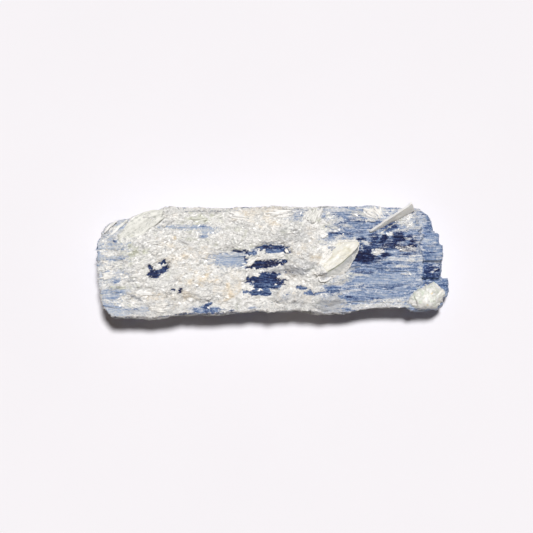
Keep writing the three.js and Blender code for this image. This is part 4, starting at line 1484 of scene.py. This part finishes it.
def make_wedge():
    count = WEDGE_STEPS
    top, at = along_outline([c[0] for c in WEDGE_CORNERS], count)
    feet = np.array([c[1] for c in WEDGE_CORNERS] + [WEDGE_CORNERS[0][1]])
    want = np.arange(count) / count
    foot = np.stack([np.interp(want, at, feet[:, k]) for k in range(2)], -1)
    centre = top.mean(0)

    def uphill(xy):
        return (xy[..., 0] - WEDGE_HINGE[0]) * WEDGE_RISE[0] + (xy[..., 1] - WEDGE_HINGE[1]) * WEDGE_RISE[1]

    def height(xy):
        return WEDGE_HINGE[2] + WEDGE_SLOPE * uphill(xy)

    def ring(xy, z):
        return np.column_stack([xy, np.broadcast_to(z, len(xy))])

    jagged = noise(ring(top, 0), 1.3, 401, 3) * (0.07 + 0.4 * smoothstep(14, 11, top[:, 0]))
    outward = (top - centre) / np.linalg.norm(top - centre, axis=1)[:, None]
    top = top + outward * jagged[:, None]
    rings, side, rim = [], [0.0], [0.0]

    def grow(xy, z, is_side, is_rim):
        rings.append(ring(xy, z))
        side.extend([is_side] * count)
        rim.extend([is_rim] * count)

    for share in np.linspace(0.04, 1, WEDGE_TOP_RINGS):
        xy = centre + (top - centre) * share
        grow(xy, height(xy), 0.0, 0.0)
    grow(top + 0.06 * outward, height(top) - 0.5 * WEDGE_RIM, 0.0, 0.0)
    # the band just under the top's edge takes the olive, partly painted shade under the overhang
    grow(top + 0.02 * outward, height(top) - WEDGE_RIM, 0.4, 0.7)
    grow(top - 0.04 * outward, height(top) - WEDGE_RIM - 0.06, 1.0, 0.8)
    high = height(top) - WEDGE_RIM - 0.1
    for share in np.linspace(0.06, 1, WEDGE_SIDE_RINGS):
        grow(top + (foot - top) * share, high + (WEDGE_FOOT - high) * share, 1.0, 0.6 if share < 0.1 else 0.0)
    middle = foot.mean(0)
    for share in np.linspace(0.8, 0.1, 5):
        grow(middle + (foot - middle) * share, WEDGE_FOOT - 0.3, 1.0, 0.0)
    first = np.array([*centre, height(centre)])
    last = np.array([*middle, WEDGE_FOOT - 0.3])
    p, faces = rings_to_mesh(rings, first, last)
    side.append(1.0)
    rim.append(0.0)
    side, rim = np.array(side), np.array(rim)
    facets = facet_height(p, (3.2, 1.9, 3), 411, 0.16, 0.16)
    crumbs = facet_height(p, 1.1, 421, 0.16, 0.16)
    ripple = 0.16 * noise(p @ rotation(36, 0, 0), (3.0, 0.7, 2), 431, 3)
    rough = smoothstep(15.5, 11.5, p[:, 0])
    lift = facets + ripple * (1 - 0.6 * side) + crumbs * (0.3 + rough)
    p[:, 2] += lift * smoothstep(10.9, 11.8, p[:, 2])
    along = (p[:, 1] - WEDGE_HINGE[1]) * WEDGE_RISE[0] - (p[:, 0] - WEDGE_HINGE[0]) * WEDGE_RISE[1]
    crumbling = 0.5 * noise(p, 1.2, 441, 3)
    # flakes lap over the low edge and the left end, and up the side from its foot
    lapped = smoothstep(1.5, 0.1, uphill(p) + crumbling)
    lapped = np.maximum(lapped, smoothstep(-3.4, -5.2, along + 1.6 * crumbling))
    buried = smoothstep(12.7, 12.1, p[:, 2] + 0.6 * crumbling)
    flat = np.zeros(len(p))
    fields = {
        "side": side,
        "rim": rim,
        "for_flakes": lapped * (1 - side) + (0.04 + 0.8 * buried) * side,
        "flow": flat + 0.6,
        "tint": flat + 0.1,
        "shade": flat,
    }
    made = plain_mesh("pale_wedge", p, faces, wedge_material(), fields)
    made.data.shade_smooth()
    return made


# The thin crystal standing on edge: its corners, top edge first, then its foot.
BLADE_TOP = ((24.7, 7.35, 11.5), (35.3, 14.35, 14.45))
BLADE_FOOT = ((24.9, 7.15, 10.4), (36.1, 12.9, 10.2))
BLADE_EDGE = 0.5  # its thickness
BLADE_ACROSS = (-0.555, 0.832)
BLADE_MILKINESS, BLADE_MILKY_DEPTH = 0.8, 0.5


def make_standing_plate():
    cube, faces = divided_cube(24)
    u, v, w = (cube + 0.5).T
    top = np.outer(1 - u, BLADE_TOP[0]) + np.outer(u, BLADE_TOP[1])
    foot = np.outer(1 - u, BLADE_FOOT[0]) + np.outer(u, BLADE_FOOT[1])
    p = foot + (top - foot) * w[:, None]
    knee = np.clip((w - 0.35) / 0.65, 0, 1)[:, None]
    p[:, :2] = (foot + (top - foot) * knee)[:, :2]
    across = np.array([*BLADE_ACROSS, 0.0])
    p = p + across * (BLADE_EDGE * v)[:, None]
    chipped = noise(np.stack([u * 12, 0 * u, 0 * u], -1), 1.2, 451, 3)
    p[:, 2] += 0.16 * chipped * w
    p += across * (0.12 * noise(p, (2.0, 2.0, 1.4), 455, 3))[:, None]
    along = np.stack([u * 12.5, w * 3.5, v], -1)
    # painted highlight: the top edge, which faces the light, is made paler and less warm
    painted_top_highlight = smoothstep(0.94, 0.99, w)
    fields = {
        "lengthwise": along + 50,
        "speckle": 0.95 + 0.2 * painted_top_highlight,
        "tint": 0.4 - 0.2 * painted_top_highlight,
        "shade": 0.0 * u,
    }
    material = plate_material("standing crystal", BLADE_MILKINESS, BLADE_MILKY_DEPTH)
    made = plain_mesh("standing_plate", p, faces, material, fields)
    made.data.shade_smooth()
    return made


# The quartz knob's outline in plan, and its levels.
KNOB_OUTLINE = [
    (34.4, -8.9),
    (35.5, -7.4),
    (37.8, -6.8),
    (39.0, -5.9),
    (40.8, -5.5),
    (41.9, -6.4),
    (43.5, -7.3),
    (43.8, -8.3),
    (43.1, -10.2),
    (41.2, -11.7),
    (38.7, -12.3),
    (36.6, -12.1),
    (34.6, -10.9),
]
KNOB_CENTRE = (39.3, -9.0)
KNOB_TOP = 12.6
KNOB_PEAK = (40.9, -6.9)
KNOB_MIDDLE = 9.0
KNOB_FOOT = 4.6
KNOB_FOOT_SHIFT = (-0.9, 1.6)  # the foot is drawn in towards the blades
KNOB_STEPS = 150  # points round it
KNOB_RINGS = 54


def make_knob():
    count = KNOB_STEPS
    outline, _ = along_outline(KNOB_OUTLINE, count)
    centre = np.array(KNOB_CENTRE)
    rings = []
    for lift in np.linspace(88, -80, KNOB_RINGS):
        c, s = cos_sin(lift)
        reach = abs(c) ** 0.62
        xy = centre + (outline - centre) * reach
        if s > 0:
            z = KNOB_MIDDLE + (KNOB_TOP - KNOB_MIDDLE) * s**0.8
        else:
            z = KNOB_MIDDLE + (KNOB_MIDDLE - KNOB_FOOT) * s
            xy = xy + (centre + KNOB_FOOT_SHIFT - xy) * 0.35 * abs(s)
        rings.append(np.column_stack([xy, np.full(count, z)]))
    first = np.array([*centre, KNOB_TOP])
    last = np.array([*(centre + (-0.3, 0.5)), KNOB_FOOT - 0.2])
    p, faces = rings_to_mesh(rings, first, last)
    away = p - (*centre, KNOB_MIDDLE)
    away /= np.linalg.norm(away, axis=1)[:, None]
    peak = np.exp(-((p[:, 0] - KNOB_PEAK[0]) ** 2 + (p[:, 1] - KNOB_PEAK[1]) ** 2) / 1.6)
    p[:, 2] += 0.9 * peak * (p[:, 2] > KNOB_MIDDLE)
    big = facet_height(p, (1.6, 2.4, 2.2), 461, 0.5, 0.45)
    small = facet_height(p, (0.7, 1.1, 1), 471, 0.28, 0.24)
    p = p + away * (big + small)[:, None]
    made = plain_mesh("quartz_knob", p, faces, quartz_material(), {})
    made.data.shade_smooth()
    return made


def make_floor():
    mesh = bpy.data.meshes.new("floor")
    corners = [(x * FLOOR_HALF, y * FLOOR_HALF, 0) for x, y in ((-1, -1), (1, -1), (1, 1), (-1, 1))]
    mesh.from_pydata(corners, [], [(0, 1, 2, 3)])
    floor = new_object("floor", mesh)
    material, tree, shader = new_material("pale paper")
    soft = noise_value(tree, out(add(tree, "ShaderNodeTexCoord"), "Object"), 22.0, 2.0)
    put(tree, mixed(tree, soft, *FLOOR_COLOURS), shader.inputs["Base Color"])
    polish(shader, 0.9, 0.1)
    mesh.materials.append(material)
    return floor


set_up_camera()
set_up_light()
body = make_body()
sliver = sliver_tree()
flake, lath = flake_material(), lath_material()
wedge = make_wedge()
pieces = [wedge, make_standing_plate(), make_knob(), make_plates()]
for name, *values in SLIVERS:
    host = wedge if name == "wedge_flakes" else body
    values.append(lath if name == "kyanite_laths" else flake)
    pieces.append(scattered(name, host, sliver, dict(zip(SLIVER_SETTINGS, values))))
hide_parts(CLUSTER)
for piece in [body, *pieces]:
    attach(piece, "root")
make_floor()
